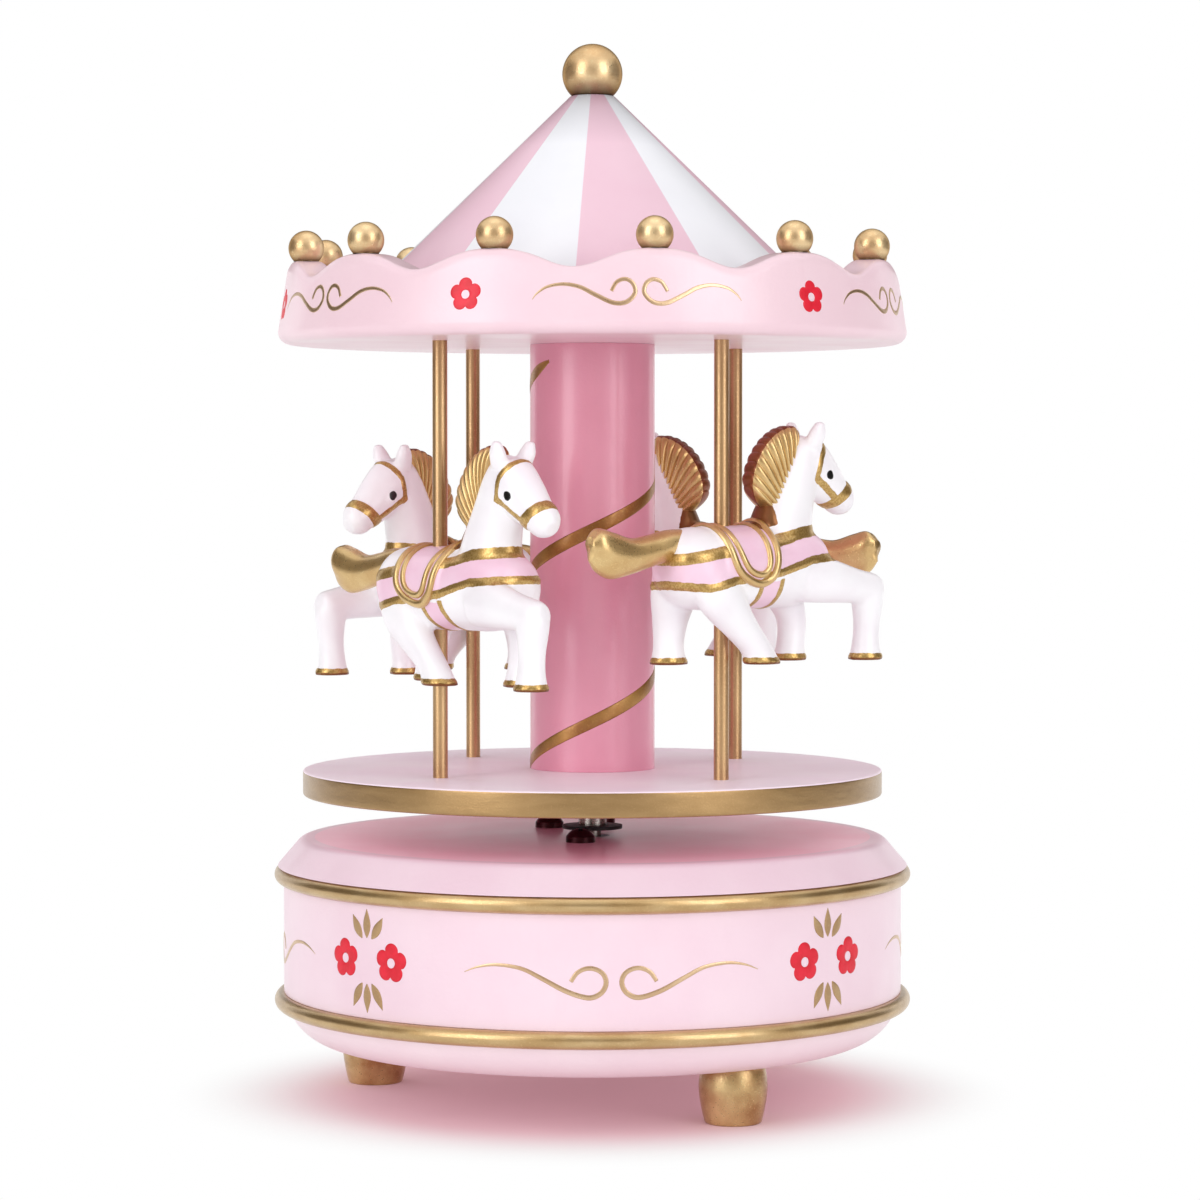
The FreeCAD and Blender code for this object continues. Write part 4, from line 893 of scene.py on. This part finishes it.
outer_bead = saddle_bead([(-3.7, 90), (-3.8, 60), (-3.6, 35), (-3.0, 10), (-1.6, -6), (0.6, -16), (3.0, -20),
                          (5.1, -12), (6.1, 3), (6.5, 20), (6.8, 50), (7.0, 90)], 0.72, 0.62)
inner_bead = saddle_bead([(-2.0, 90), (-2.1, 60), (-1.9, 38), (-1.3, 16), (-0.3, 2), (1.1, -5), (2.8, -7),
                          (4.0, -1), (4.5, 9), (4.7, 24), (4.9, 50), (5.1, 90)], 0.58, 0.5)
trim_gold = gold_paint("trim_gold", srgb(236, 208, 150), srgb(206, 168, 110), 0.85, (0.26, 0.40))
# Brown for the mane's outer edge: painted shade.
mane_shade_brown = gold_paint("mane_painted_shade", srgb(170, 98, 56), srgb(124, 62, 36), 0.6, (0.34, 0.46))
for number in range(4):
    shape = quad_mesh("horse_skin", stood(cast_spots, number), cast_faces)
    shape.update(calc_edges=True)
    shape.shade_smooth()
    layer = shape.attributes.new("paint", "FLOAT_COLOR", "POINT")
    layer.data.foreach_set("color", paint.astype(np.float32).ravel())
    shape.materials.append(plastic)
    piece = bpy.data.objects.new("cast_horse_%d" % (number + 1), shape)
    scene.collection.objects.link(piece)
    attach(piece, "carousel")
    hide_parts("horse_%d" % (number + 1))
    make_piece("horse_gilding_%d" % (number + 1),
               [(stood(mane, number), False, True, mane_shade_edge), (stood(tail, number), False, True, 0),
                (stood(outer_bead, number), True, True, 0), (stood(inner_bead, number), True, True, 0)],
               [trim_gold, mane_shade_brown], "carousel", "gilt_wood")

# Canopy crown: a turned wooden tray whose rim is cut into twelve soft lobes, lacquered pink,
# with six red flowers and six pairs of gold scrolls painted round it by turns.
crown_low, crown_floor, crown_crest = column_high, 135.0, 142.3
crown_r, crown_top_r, crown_in = 53.75, 51.9, 46.5
crown_round, lobe_depth, ease, tray_ease = 2.0, 3.0, 1.0, 0.5
rim_mean_r = 53.0
first_lobe = np.radians(-78.3)
crown_lean = (crown_r - crown_top_r) / (crown_crest - crown_low - crown_round)
crown_lacquer = lacquer("crown_lacquer", srgb(245, 215, 224), srgb(240, 206, 217))
around = np.linspace(0, 2 * np.pi, 480, endpoint=False)
swing = np.cos(12 * (around - first_lobe))
crest = crown_crest - lobe_depth * (1 - 0.5 * (1 + swing) * (1.3 - 0.3 * swing))
outer_top = crown_r - crown_lean * (crest - crown_low - crown_round)
rim_high = crest - ease - crown_low - crown_round
inner_deep = crest - ease - crown_floor - tray_ease
bend = np.linspace(0, np.pi / 2, 9)


def rim_row(r, z):
    """One row of the crown: a radius and a level, each a number or one value for every step round it."""
    return np.stack([r + 0 * around, z + 0 * around])


rows = [rim_row(r, crown_low) for r in (0.0, 20.0, 40.0, 50.0, crown_r - crown_round - 0.05)]
rows += [rim_row(crown_r - crown_round + crown_round * np.sin(b),
                 crown_low + crown_round - crown_round * np.cos(b)) for b in bend]
rows += [rim_row(crown_r - crown_lean * s * rim_high, crown_low + crown_round + s * rim_high)
         for s in np.linspace(0.1, 1, 10)]
rows += [rim_row(outer_top - ease * (1 - np.cos(b)), crest - ease * (1 - np.sin(b))) for b in bend[1:]]
rows += [rim_row(crown_in + ease * (1 - np.sin(b)), crest - ease * (1 - np.cos(b))) for b in bend]
rows += [rim_row(crown_in, crest - ease - s * inner_deep) for s in np.linspace(0.2, 1, 5)]
rows += [rim_row(crown_in - 0.15, crown_floor + 0.15)]
rows += [rim_row(r, crown_floor) for r in (crown_in - tray_ease, 30.0, 0.0)]
crown = np.array(rows)
crown_grid = np.stack([crown[:, 0] * np.cos(around), crown[:, 0] * np.sin(around), crown[:, 1]], axis=-1)
make_piece("painted_canopy_crown", [(crown_grid, False, True, 0)], [crown_lacquer],
           "carousel", "pink_wood", "canopy_crown")


def on_rim(stroke, angle, height):
    """Lay a flat stroke on the leaning rim of the crown: along becomes an angle, up follows the wall."""
    level = height + stroke[..., 1]
    reach = crown_r - crown_lean * (level - crown_low - crown_round) + stroke[..., 2]
    turn = np.radians(angle - 90.0) + stroke[..., 0] / rim_mean_r
    return np.stack([reach * np.cos(turn), reach * np.sin(turn), level], axis=-1)


rim_scroll = [(17.0, -1.5), (16.2, -0.5), (14.6, 0.5), (12.1, 0.9), (9.5, 0.45), (7.0, -0.8), (4.2, -2.05),
              (2.1, -1.9), (0.75, -0.5), (1.05, 1.0), (2.2, 1.7), (3.6, 1.25), (4.5, -0.2)]
rim_widths = [0.12, 0.40, 0.58, 0.70, 0.76, 0.74, 0.70, 0.66, 0.6]
rim_sway = [0.0, 0.4, -0.8, 0.6, -0.5, -3.6]
rim_scroll_turn, rim_scroll_level = 8.2, 135.5
rim_flower_turn, rim_flower_level = -20.2, 134.95
rim_flower_size, rim_flower_eye = 5.4, 1.4
rim_scrolls, rim_flowers = [], []
for sixth in range(6):
    for hand in (1, -1):
        scroll = brush_stroke(np.array(rim_scroll) * [hand, 1], rim_widths, stroke_lift, 110)
        angle = rim_scroll_turn + 60 * sixth + rim_sway[sixth]
        rim_scrolls.append((on_rim(scroll, angle, rim_scroll_level), False, True, 0))
    flower = five_petals(rim_flower_size, rim_flower_eye, stroke_lift, 0.04)
    angle = rim_flower_turn + 60 * sixth - 2.0 * (-1) ** sixth
    rim_flowers.append((on_rim(flower, angle, rim_flower_level), True, True, 0))
make_piece("rim_scrolls", rim_scrolls, [scroll_gold], "carousel", "gilt_wood")
make_piece("rim_flowers", rim_flowers, [flower_red], "carousel", "pink_wood")

# Balls: twelve gilded wooden beads pegged on the crests of the crown. Their paint goes brown where they sit
# in its lacquer, as a painted shade.
ball_r, ball_circle, ball_level = 3.0, 49.3, 144.5
peg_r, peg_low, ball_bed_r = 0.8, 140.0, 2.2
ball_bright, ball_brown = srgb(252, 228, 182), srgb(212, 176, 130)
ball_gold = gold_paint("ball_gold", ball_bright, ball_brown, 0.8, (0.27, 0.40), coat=0.0, seat=(141.8, 143.4))


def knob_profile(radius, middle, pin_r, pin_low, bed_r, bed_level, steps):
    """Profile of a ball on its pin: up the pin, out along the bed it sits on, and round an arc to its top."""
    climb = np.linspace(np.arcsin((bed_level - middle) / radius), np.pi / 2, steps)
    knob = np.stack([radius * np.cos(climb), middle + radius * np.sin(climb)], axis=1)
    knob[-1, 0] = 0.0
    return np.vstack([[(0, pin_low), (pin_r, pin_low), (pin_r, bed_level), (bed_r, bed_level)], knob])


ball_profile = knob_profile(ball_r, ball_level, peg_r, peg_low, ball_bed_r, crown_crest, 40)
for number in range(12):
    bead = turned(ball_profile, 64, ball_circle, first_lobe + np.radians(30.0 * number))
    make_piece("gilt_ball_%02d" % (number + 1), [(bead, False, True, 0)], [ball_gold],
               "carousel", "gilt_wood", "ball_%02d" % (number + 1))

# Roof: a turned wooden cone in ten painted gores, pink and white by turns, glued on the canopy floor. The
# colours dim a little towards its top, a painted shade under the finial.
roof_low, roof_high = crown_floor, 171.1
roof_foot_r, roof_top_r, foot_ease = 40.4, 3.7, 0.5
roof_shade_heights = (162.0, roof_high)
gores, gore_steps = 10, 240
gore_start = np.radians(-94.2)
gore_mark = (np.arange(gore_steps) * gores // gore_steps % 2)[None, :]
roof_profile = eased_profile([(0, roof_low, 0), (roof_foot_r - foot_ease, roof_low, 0.3),
                              (roof_foot_r, roof_low + foot_ease, 0.3), (roof_top_r, roof_high, 0.3),
                              (0, roof_high, 0)], spacing=1.5)
roof_grid = turned(roof_profile, gore_steps, start=gore_start)
gore_pink = lacquer("gore_pink", srgb(241, 203, 218), srgb(238, 196, 213), peel=0.000008, gloss=0.15,
                    shade_heights=roof_shade_heights)
gore_white = lacquer("gore_white", srgb(246, 246, 251), srgb(241, 241, 247), peel=0.000008, gloss=0.15,
                     shade_heights=roof_shade_heights)
make_piece("painted_roof_cone", [(roof_grid, False, True, gore_mark)], [gore_pink, gore_white],
           "carousel", "roof_wood", "roof_cone")

# Finial: one large gilded wooden ball, dowelled into the flat top of the roof and painted like the small
# balls, brown where it sits as a painted shade.
finial_r, finial_level = 5.15, 174.85
dowel_r, dowel_low, finial_bed_r = 1.5, 165.1, 3.4
finial_profile = knob_profile(finial_r, finial_level, dowel_r, dowel_low, finial_bed_r, roof_high, 56)
finial_gold = gold_paint("finial_gold", ball_bright, ball_brown, 0.8, (0.27, 0.40), coat=0.0,
                         seat=(170.8, 174.0))
make_piece("gilt_finial", [(turned(finial_profile, 96), False, True, 0)], [finial_gold],
           "carousel", "gilt_wood", "finial_ball")
